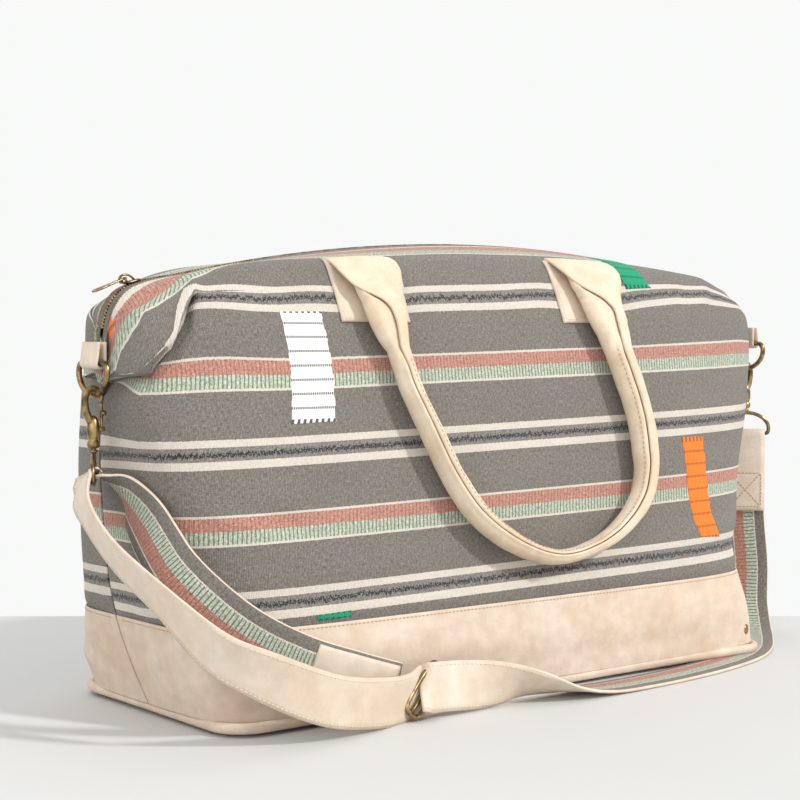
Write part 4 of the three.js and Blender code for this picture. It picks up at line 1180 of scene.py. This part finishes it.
def loft(rings, per_segment):
    """Rings between the given ones, each point on its own smooth curve."""
    rings = np.array(rings)
    curves = [spline(rings[:, k], per_segment) for k in range(rings.shape[1])]
    return np.stack(curves, 1)


def add_handles():
    rings, seams, seam_outs = handle_rings()
    rings = np.array(rings)
    points, faces = ring_sections(rings, caps=False)
    count = rings.shape[1]
    half = count // 2
    index = np.arange(half - 1)
    strip = np.stack([index, count - 1 - index, count - 2 - index, index + 1], 1)
    last = (len(rings) - 1) * count
    faces += [strip, strip[:, ::-1] + last]
    grown = stitch_row(seams, seam_outs, 2.4, 4.2)
    for name, mirror in (("front", 1), ("rear", -1)):
        turned = points * [1, mirror, 1]
        groups = [f if mirror > 0 else f[:, ::-1] for f in faces]
        handle = mesh_object(f"{name}_rolled_handle", turned, groups, None, [ROLL_LOOK])
        finish_piece(handle, f"{name}_handle_body", [f"{name}_handle"])
        rows = [[(p * [1, mirror, 1], [f if mirror > 0 else f[:, ::-1] for f in fs]) for p, fs in grown]]
        stitch_piece(f"{name}_handle_stitches", rows, TAN_THREAD_LOOK, f"{name}_handle_body")
        for i, (place, left, right) in enumerate(PATCHES):
            add_patch(name, mirror, i, place, left, right)


def add_patch(name, mirror, i, place, left, right):
    v, u = np.meshgrid(np.linspace(0, 1, 30), np.linspace(0, 1, 30), indexing="ij")
    x = place + left + (right - left) * u
    h = PATCH_BOTTOM + (PATCH_TOP - PATCH_BOTTOM) * v
    across = np.array([FRONT.across_at(row, height[0]) for row, height in zip(x, h)])
    edge = np.minimum.reduce([u * (right - left), (1 - u) * (right - left), v * 59, (1 - v) * 59])
    out = 1.2 + 1.3 * np.sqrt(np.clip(edge / 1.6, 0, 1)) + relief(across, h, FRONT_FOLDS)
    points = FRONT.at(across, h, out)
    uv = np.stack([x, h], -1)
    if mirror < 0:
        points = points * [1, -1, 1]
    patch = thick_sheet(f"{name}_patch_{i + 1}", points, uv, 1.9, STRAP_LOOK, flip=mirror < 0)
    finish_piece(patch, "bag", [f"{name}_handle_patch_{i + 1}"])
    inset = 3.0
    sx = np.concatenate([np.full(30, left + inset), np.linspace(left + inset, right - inset, 34)]) + place
    side_rows = np.linspace(PATCH_TOP - 2, PATCH_BOTTOM + inset, 30)
    sh = np.concatenate([side_rows, np.full(34, PATCH_BOTTOM + inset)])
    sa = np.array([float(FRONT.across_at(a, b)) for a, b in zip(sx, sh)])
    base = relief(sa, sh, FRONT_FOLDS) + 2.6
    line = FRONT.at(sa, sh, base) * [1, mirror, 1]
    outs = FRONT.outward(sa, sh) * [1, mirror, 1]
    stitch_piece(f"{name}_patch_{i + 1}_stitches", [stitch_row(line, outs)], THREAD_LOOK, "bag")


# ------------------------------------------------------------------ strap
def strap_frames(route, count):
    rows = np.array(route, float)
    rows[:, :3] /= MM
    smooth = spline(rows, 16)
    smooth = resample_rows(smooth, count)
    path, side = smooth[:, :3], smooth[:, 3:]
    t = tangents(path)
    side = unit(side - t * (side * t).sum(1)[:, None])
    return path, side, np.cross(t, side)


def resample_rows(rows, count):
    """Rows evenly spaced along their first three columns."""
    steps = np.linalg.norm(np.diff(rows[:, :3], axis=0), axis=1)
    length = np.concatenate([[0], np.cumsum(steps)])
    even = np.linspace(0, length[-1], count)
    return np.stack([np.interp(even, length, rows[:, k]) for k in range(rows.shape[1])], 1)


def strap_band(name, path, side, face, width, thickness, leather_sign, flip_v, looks):
    """A strap of leather lined with cloth. The leather's edges stand a little proud."""
    half, deep = width / 2, thickness / 2
    v = np.linspace(-1, 1, 9)
    leather_side = [(x * half, leather_sign * deep * (1 - 0.25 * abs(x) ** 6)) for x in v]
    cloth_side = [(x * (half - 0.9), -leather_sign * deep) for x in v[::-1]]
    edge_right = [(half, -leather_sign * deep * 0.55)]
    edge_left = [(-half, -leather_sign * deep * 0.55)]
    section = np.array(leather_side + edge_right + cloth_side + edge_left)
    if leather_sign > 0:
        section = section[::-1]
    rings = path[:, None] + section[None, :, :1] * side[:, None] + section[None, :, 1:] * face[:, None]
    points, faces = ring_sections(rings)
    steps = np.concatenate([[0], np.cumsum(np.linalg.norm(np.diff(path, axis=0), axis=1))])
    v_mm = section[:, 0] * (-1 if flip_v else 1) + half
    uv = np.stack(np.broadcast_arrays(steps[:, None], v_mm[None]), -1).reshape(-1, 2)
    is_cloth = section[:, 1] * leather_sign < -deep * 0.9
    both = is_cloth & np.roll(is_cloth, -1)
    look = np.concatenate([np.tile(both.astype(int), len(path) - 1), [0, 0]])
    return mesh_object(name, points, faces, uv, looks, look)


def edge_stitches(name, path, side, face, width, sign, thickness):
    rows = []
    for at in (-1, 1):
        line = path + side * at * (width / 2 - 2.6) + face * sign * (thickness / 2 - 0.05)
        rows += stitch_row(line, face * sign, 2.3, 3.6)
    points, faces = joined(rows)
    return mesh_object(name, points, faces, None, [THREAD_LOOK])


# The leather end on the loop's inner strand: its reach in path rows, width and offsets (mm).
STRAP_END_ROWS = 27
STRAP_END_WIDTH = 25
STRAP_END_STANDOFF = 2.3
STRAP_END_SHIFT = 3.0


def add_strap():
    looks = [STRAP_LOOK, STRAP_CLOTH_LOOK]
    path, side, face = strap_frames(LOOP_ROUTE, 220)
    loop = strap_band("strap_loop_band", path, side, face, STRAP_WIDTH, STRAP_THICKNESS, 1, True, looks)
    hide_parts("strap_loop")
    stitches = edge_stitches("strap_loop_stitches", path, side, face, STRAP_WIDTH, 1, STRAP_THICKNESS)
    # the strap's own leather end, lying flat on its cloth face
    reach = slice(-STRAP_END_ROWS, -1)
    end_path = path[reach] - face[reach] * STRAP_END_STANDOFF - side[reach] * STRAP_END_SHIFT
    end_sides = side[reach], face[reach]
    plain = [STRAP_LOOK] * 2
    end = strap_band("strap_leather_end", end_path, *end_sides, STRAP_END_WIDTH, 1.5, -1, True, plain)
    for piece in (loop, stitches, end):
        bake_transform(piece)

    path, side, face = strap_frames(MAIN_ROUTE, 300)
    main = strap_band("strap_main_band", path, side, face, STRAP_WIDTH, STRAP_THICKNESS, -1, False, looks)
    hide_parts("strap_main")
    stitches = edge_stitches("strap_main_stitches", path, side, face, STRAP_WIDTH, -1, STRAP_THICKNESS)
    tab, tab_stitches = end_tab()
    for piece in (main, stitches, tab, tab_stitches):
        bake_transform(piece)
    add_buckle()


def end_tab():
    """Leather folded over the bar of the right eye, sewn through in a crossed box."""
    hook = HOOKS[1]
    x, y, z = hook["at"]
    along = np.array([*hook["eye"], 0])
    out = np.array([-0.66, -0.75, 0])
    bar = np.array([x, y, z - RING_DROP + EYE_BAR])
    radius = 3.3
    drop = 74
    flat = [(radius + 0.2, -h) for h in np.linspace(drop, 0, 22)]
    bend = [(radius * math.cos(a), radius * math.sin(a)) for a in np.linspace(0.1, math.pi - 0.1, 14)]
    down = [(-radius - 0.2, -h) for h in np.linspace(0, drop - 2, 22)]
    path = np.array([bar + out * a + np.array([0, 0, b]) for a, b in flat + bend + down])
    side = np.tile(along, (len(path), 1))
    face = np.cross(tangents(path), side)
    plain = [STRAP_LOOK] * 2
    tab = strap_band("strap_end_leather", path, side, face, STRAP_WIDTH - 1, 1.7, -1, False, plain)
    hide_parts("strap_end_tab")
    near = bar + out * (radius + 1.15)
    half = STRAP_WIDTH / 2 - 4
    corners = {
        "a": (-half, -38), "b": (half, -38), "c": (half, -70), "d": (-half, -70),
    }
    rows = []
    for start, end in ("ab", "bc", "cd", "da", "ac", "bd"):
        places = [corners[k] for k in (start, end)]
        ends = np.array([near + along * a + np.array([0, 0, b]) for a, b in places])
        line = resample(ends, 20)
        rows += stitch_row(line, np.tile(out, (20, 1)), 2.3, 3.4)
    points, faces = joined(rows)
    return tab, mesh_object("strap_end_stitches", points, faces, None, [TAN_THREAD_LOOK])


def add_buckle():
    middle = np.array(BUCKLE["middle"], float)
    across = unit(BUCKLE["across"])
    along = unit(BUCKLE["along"])
    corners = [(-22, -4), (-22, 4), (-20, 6.5), (20, 6.5), (22, 4), (22, -4), (20, -6.5), (-20, -6.5)]
    loop = resample(spline([middle + across * a + along * b for a, b in corners], 10, closed=True), 121)[:-1]
    normal = np.cross(across, along)
    parts = [ring_sections(tube_rings(loop, 1.9, 14, closed=True, normal=normal), close_path=True)]
    bar = np.array([middle - across * 21.5, middle + across * 21.5])
    parts.append(ring_sections(tube_rings(resample(bar, 12), 1.5, 12)))
    points, faces = joined(parts)
    buckle = mesh_object("strap_slider_buckle", points, faces, None, [BRASS_LOOK])
    finish_piece(buckle, "bag", ["strap_buckle"])


# ------------------------------------------------------------------ zip
def zip_place(share, side, up):
    """A point by share of the zip line, distance from its middle and height above it."""
    line = zip_line(1201)
    out = zip_out(line)
    at = np.asarray(share) * 1200
    base = np.stack([np.interp(at, np.arange(1201), line[:, k]) for k in range(3)], -1)
    up_way = np.stack([np.interp(at, np.arange(1201), out[:, k]) for k in range(3)], -1)
    point = base + up_way * np.asarray(up)[..., None]
    point[..., 1] = point[..., 1] + side
    return point, up_way


def add_zip():
    share = np.linspace(0.012, 0.985, 260)
    for name, sign in (("front", -1), ("rear", 1)):
        rows = []
        for side, up in ((8.8, 0.2), (7.2, 0.9), (5.4, 1.3), (3.6, 1.5), (2.4, 1.3)):
            rows.append(zip_place(share, sign * side, np.full(share.shape, up))[0])
        grid = np.array(rows)
        v_mm = np.array([8.8, 7.2, 5.4, 3.6, 2.4])[:, None]
        uv = np.stack(np.broadcast_arrays(share[None] * 720, v_mm), -1)
        tape = thick_sheet(f"{name}_tape", grid, uv, 0.9, TAPE_LOOK, flip=sign > 0)
        finish_piece(tape, "bag", [f"{name}_zip_tape"])
        teeth = []
        count = 290
        shift = 0.25 if sign > 0 else -0.25
        for i in range(count):
            at = 0.03 + 0.94 * (i + 0.5 + shift) / count
            middle, up_way = zip_place(np.array([at]), sign * 0.7, np.array([1.1]))
            ahead, _ = zip_place(np.array([at + 0.001]), sign * 0.7, np.array([1.1]))
            t = unit(ahead[0] - middle[0])
            p, f = box_part(middle[0], t, (0, 1, 0), up_way[0], (1.25, 3.2, 2.3))
            p[4:] = middle[0] + (p[4:] - middle[0]) * [0.8, 0.8, 1]
            teeth.append((p, f))
        points, faces = joined(teeth)
        strip = mesh_object(f"{name}_teeth", points, faces, None, [BRASS_LOOK])
        finish_piece(strip, "bag", [f"{name}_zip_teeth"])


def plate(outline, thickness, bevel):
    """A bevelled plate from a closed outline in its own plane."""
    outline = np.asarray(outline, float)
    t = unit(np.roll(outline, -1, 0) - np.roll(outline, 1, 0))
    inward = np.stack([-t[:, 1], t[:, 0]], 1)
    rings = []
    for z, inset in ((0, bevel), (bevel, 0), (thickness - bevel, 0), (thickness, bevel)):
        flat = outline + inward * inset
        rings.append(np.column_stack([flat, np.full(len(flat), z - thickness / 2)]))
    return ring_sections(np.array(rings))


def superellipse(half_x, half_y, power, count=36):
    angle = np.linspace(0, 2 * math.pi, count, endpoint=False)
    c, s = np.cos(angle), np.sin(angle)
    x = half_x * np.sign(c) * abs(c) ** (2 / power)
    y = half_y * np.sign(s) * abs(s) ** (2 / power)
    return np.stack([x, y], 1)


SLIDER_X = ZIP_ARCH["left"] + 7
PULL_HINGE = (-6, 7.5)


def on_slider(points):
    lean = math.asin((SLIDER_X - ZIP_ARCH["middle"]) / ZIP_ARCH["radius"])
    c, s = math.cos(lean), math.sin(lean)
    x = points[:, 0] * c + points[:, 2] * s + SLIDER_X
    z = points[:, 2] * c - points[:, 0] * s + zip_height(SLIDER_X)
    return np.stack([x, points[:, 1], z], 1)


def add_slider():
    top = plate(superellipse(7, 4.4, 3.2), 1.7, 0.5)
    top = (top[0] + [0, 0, 4.2], top[1])
    hinge_x, hinge_z = PULL_HINGE
    bridge_path = spline([(-9, 0, 4.6), (-9.4, 0, 8.2), (-6.2, 0, 10.2), (-1, 0, 9.0), (2.6, 0, 5.0)], 8)
    bridge = ring_sections(tube_rings(bridge_path, 0.85, 10))
    pin_line = np.array([(hinge_x, -3.6, hinge_z), (hinge_x, 3.6, hinge_z)], float)
    pin = ring_sections(tube_rings(resample(pin_line, 6), 0.7, 10))
    arm_middle = (hinge_z + 4.6) / 2
    arm_size = (1.7, 0.9, hinge_z - 3.2)
    axes = ((1, 0, 0), (0, 1, 0), (0, 0, 1))
    arms = [box_part((hinge_x, y, arm_middle), *axes, arm_size) for y in (-3.2, 3.2)]
    points, faces = joined([top, bridge, pin, *arms])
    slider = mesh_object("slider_body", on_slider(points), faces, None, [BRASS_LOOK])
    finish_piece(slider, "slider", ["zip_slider"])

    fall = math.radians(8)
    half = [(2.0, 1.6), (-2, 2.0), (-12, 2.3), (-16, 3.2), (-22, 3.5), (-26, 2.6)]
    mirrored = [(x, -y) for x, y in half]
    outline = [mirrored[0], (2.4, 0), *half, (-27.4, 0), *mirrored[:0:-1]]
    outline = np.array(outline, float)
    loop = np.column_stack([outline, np.zeros(len(outline))])
    smooth = resample(spline(loop, 6, closed=True), 73)[:-1, :2]
    body = plate(smooth, 1.5, 0.45)
    c, s = math.cos(fall), math.sin(fall)
    p = body[0]
    turned = np.stack([p[:, 0] * c - p[:, 2] * s, p[:, 1], p[:, 0] * s + p[:, 2] * c], 1)
    turned = turned + [hinge_x, 0, hinge_z]
    pull = mesh_object("pull_plate", on_slider(turned), body[1], None, [BRASS_LOOK])
    finish_piece(pull, "pull", ["zip_pull"])


# ------------------------------------------------------------------ rings and hooks
def add_ring_tab(hook):
    x, y, z = hook["at"]
    out = hook["out"]
    radius = 3.6
    inner = [(-radius - 0.2, h) for h in np.linspace(15, 1, 10)]
    bend = [(radius * math.cos(a), radius * math.sin(a)) for a in np.linspace(math.pi, 2 * math.pi, 16)]
    up = [(radius - 2.2 * (h / 15) ** 0.7, h) for h in np.linspace(1, 15, 10)]
    path = np.array([(x + out * a, y, z + b) for a, b in inner + bend + up])
    side = np.tile((0.0, 1.0, 0.0), (len(path), 1))
    face = np.cross(tangents(path), side)
    sign = 1 if out > 0 else -1
    name = f"{hook['name']}_tab_leather"
    tab = strap_band(name, path, side, face, 25, 2.0, sign, False, [STRAP_LOOK] * 2)
    finish_piece(tab, "bag", [f"{hook['name']}_ring_tab"])


def add_d_ring(hook):
    x, y, z = hook["at"]
    half = [(0, 0), (14, 0), (19, -1.4), (21, -6), (19.6, -12.5), (14.5, -18.6), (7.5, -22.4)]
    points = half + [(0, -RING_DROP)] + [(-a, b) for a, b in half[:0:-1]]
    loop = resample(spline([(x, y + a, z + b) for a, b in points], 12, closed=True), 161)[:-1]
    body = ring_sections(tube_rings(loop, 2.2, 16, closed=True, normal=(1, 0, 0)), close_path=True)
    ring = mesh_object(f"{hook['name']}_ring", *body, None, [BRASS_LOOK])
    finish_piece(ring, f"{hook['name']}_ring", [f"{hook['name']}_d_ring"])


def hook_space(hook, points):
    """From the hook's drawing plane, where the ring's bow is the origin."""
    x, y, z = hook["at"]
    points = np.asarray(points, float)
    return points * [hook["out"], 1, 1] + [x, y, z - RING_DROP]


def lathe(profile, steps=28):
    """A turned piece about the vertical, from (radius, height) pairs."""
    angle = np.linspace(0, 2 * math.pi, steps, endpoint=False)
    rings = [[(r * math.cos(a), r * math.sin(a), h) for a in angle] for r, h in profile]
    return ring_sections(np.array(rings))


def add_snap_hook(hook):
    name = hook["name"]
    claw_points = [
        (1.5, 0, -20), (5.2, 0, -13), (6.6, 0, -6), (5.8, 0, 0.5),
        (1.2, 0, 4.9), (-3.8, 0, 3.6), (-6.4, 0, -1), (-6.5, 0, -5),
    ]
    claw_path = resample(spline(claw_points, 12), 70)
    taper = np.interp(np.linspace(0, 1, 70), [0, 0.15, 0.6, 0.95, 1], [3.0, 2.9, 2.4, 1.9, 1.2])
    claw = ring_sections(tube_rings(claw_path, taper, 16))
    barrel = lathe([
        (0.3, -14.5), (2.4, -15.4), (3.6, -18), (4.5, -21.5),
        (4.7, -24), (4.6, -29), (3.9, -31), (3.5, -32.4),
        (4.4, -33.4), (4.8, -35.2), (4.5, -37.2), (3.4, -38.2), (1.9, -38.4),
    ])
    lug = plate(superellipse(3.6, 2.3, 2.6, 24), 3.4, 0.6)
    lug = (lug[0] + [-5.6, 0, -24.5], lug[1])
    points, faces = joined([claw, barrel, lug])
    if hook["out"] < 0:
        faces = [f[:, ::-1] for f in faces]
    body = mesh_object(f"{name}_hook", hook_space(hook, points), faces, None, [BRASS_LOOK])
    finish_piece(body, f"{name}_hook", [f"{name}_hook_body"])

    bolt_path = resample(np.array([(-6.5, 0, -25.5), (-6.5, 0, -5.4)], float), 12)
    bolt = ring_sections(tube_rings(bolt_path, 1.25, 12))
    knob = lathe([(0.2, -2.2), (1.3, -1.9), (2.1, -0.9), (2.2, 0), (1.9, 1.0), (1.1, 1.8), (0.2, 2.1)], 18)
    turned = knob[0][:, [2, 1, 0]] * [-1, 1, 1] + [-8.4, 0, -13]
    points, faces = joined([bolt, (turned, knob[1])])
    if hook["out"] < 0:
        faces = [f[:, ::-1] for f in faces]
    gate = mesh_object(f"{name}_gate", hook_space(hook, points), faces, None, [BRASS_LOOK])
    finish_piece(gate, f"{name}_gate", [f"{name}_hook_gate"])


def add_swivel_eye(hook):
    x, y, z = hook["at"]
    dx, dy = hook["eye"]
    half = [(0, -42.5), (9, -43.8), (17, -48), (21.4, -54), (21.6, -60.4)]
    bottom = [(20.2, EYE_BAR), (8, EYE_BAR), (-8, EYE_BAR), (-20.2, EYE_BAR)]
    flat = half + bottom + [(-a, b) for a, b in half[:0:-1]]
    points = [(x + a * dx, y + a * dy, z - RING_DROP + b) for a, b in flat]
    loop = resample(spline(points, 10, closed=True), 141)[:-1]
    normal = unit((dy, -dx, 0))
    ring = ring_sections(tube_rings(loop, 1.8, 14, closed=True, normal=normal), close_path=True)
    stem_path = resample(np.array([(x, y, z - RING_DROP - 43), (x, y, z - RING_DROP - 31)], float), 8)
    stem = ring_sections(tube_rings(stem_path, 1.9, 14))
    collar = lathe([(1.9, -41.6), (3.0, -41.2), (3.2, -40.2), (2.9, -39.3), (1.9, -39)], 20)
    collar = (collar[0] + [x, y, z - RING_DROP], collar[1])
    points, faces = joined([ring, stem, collar])
    eye = mesh_object(f"{hook['name']}_eye", points, faces, None, [BRASS_LOOK])
    finish_piece(eye, f"{hook['name']}_ring", [f"{hook['name']}_swivel_eye"])


def add_stud():
    x, height, radius = 259, 19, 4.5
    body = lathe([(radius, 0), (radius, 0.7), (radius * 0.82, 1.3), (radius * 0.5, 1.5), (0.2, 1.4)], 32)
    across = FRONT.across_at(x, height)
    foot = FRONT.at(np.array(across), np.array(float(height)), np.array(0.8))
    out = FRONT.outward(np.array(across), np.array(float(height)))
    side = unit(np.cross(out, (0, 0, 1)))
    up = np.cross(side, out)
    p = body[0]
    points = foot + p[:, :1] * side + p[:, 1:2] * up + p[:, 2:] * out
    stud = mesh_object("plain_stud", points, body[1], None, [BRASS_LOOK])
    finish_piece(stud, "bag", ["corner_stud"])


# ------------------------------------------------------------------ studio
# The floor's extent from the camera: behind it, ahead of it and to each side, in millimetres.
FLOOR_NEAR = -1500
FLOOR_FAR = 1790
FLOOR_REACH = 3000


def add_floor():
    """A pale floor in line with the view, ending a short way behind the bag."""
    turn = math.radians(-38)
    ahead = np.array([-math.sin(turn), math.cos(turn), 0])
    right = np.array([math.cos(turn), math.sin(turn), 0])
    camera = np.array([-951, -1160, 0])
    depths = np.linspace(FLOOR_NEAR, FLOOR_FAR, 8)
    widths = np.linspace(-FLOOR_REACH, FLOOR_REACH, 12)
    grid = [camera + ahead * a + right * b for a in depths for b in widths]
    floor = mesh_object("studio_floor", np.array(grid), [grid_faces(8, 12)[:, ::-1]], None, [floor_look()])


def add_light(name, kind, location, aim, energy, size, color=(1, 1, 1)):
    data = bpy.data.lights.new(name, kind)
    data.energy = energy
    data.color = color
    if kind == "AREA":
        data.size = size
    else:
        data.angle = size
    lamp = bpy.data.objects.new(name, data)
    lamp.location = location
    lamp.rotation_euler = (Vector(aim) - Vector(location)).to_track_quat("-Z", "Y").to_euler()
    bpy.context.scene.collection.objects.link(lamp)


def add_studio():
    world = bpy.data.worlds.new("studio")
    world.use_nodes = True
    background = world.node_tree.nodes["Background"]
    background.inputs["Color"].default_value = (0.955, 0.965, 0.955, 1)
    background.inputs["Strength"].default_value = 0.98
    bpy.context.scene.world = world
    add_light("key", "SUN", (0.62, -1.3, 1.15), (0, 0, 0.15), 2.0, math.radians(5), (1, 0.985, 0.96))
    add_light("fill", "SUN", (-1.5, -0.5, 0.9), (0, 0, 0.15), 0.85, math.radians(70))
    bpy.context.scene.view_settings.view_transform = "Standard"
    add_floor()


# ------------------------------------------------------------------ the whole bag
make_camera()
add_strap()
add_cloth()
add_inlays()
add_bands()
add_base()
add_lining()
add_zip()
add_slider()
for each_hook in HOOKS:
    add_ring_tab(each_hook)
    add_d_ring(each_hook)
    add_snap_hook(each_hook)
    add_swivel_eye(each_hook)
add_handles()
add_stud()
add_studio()
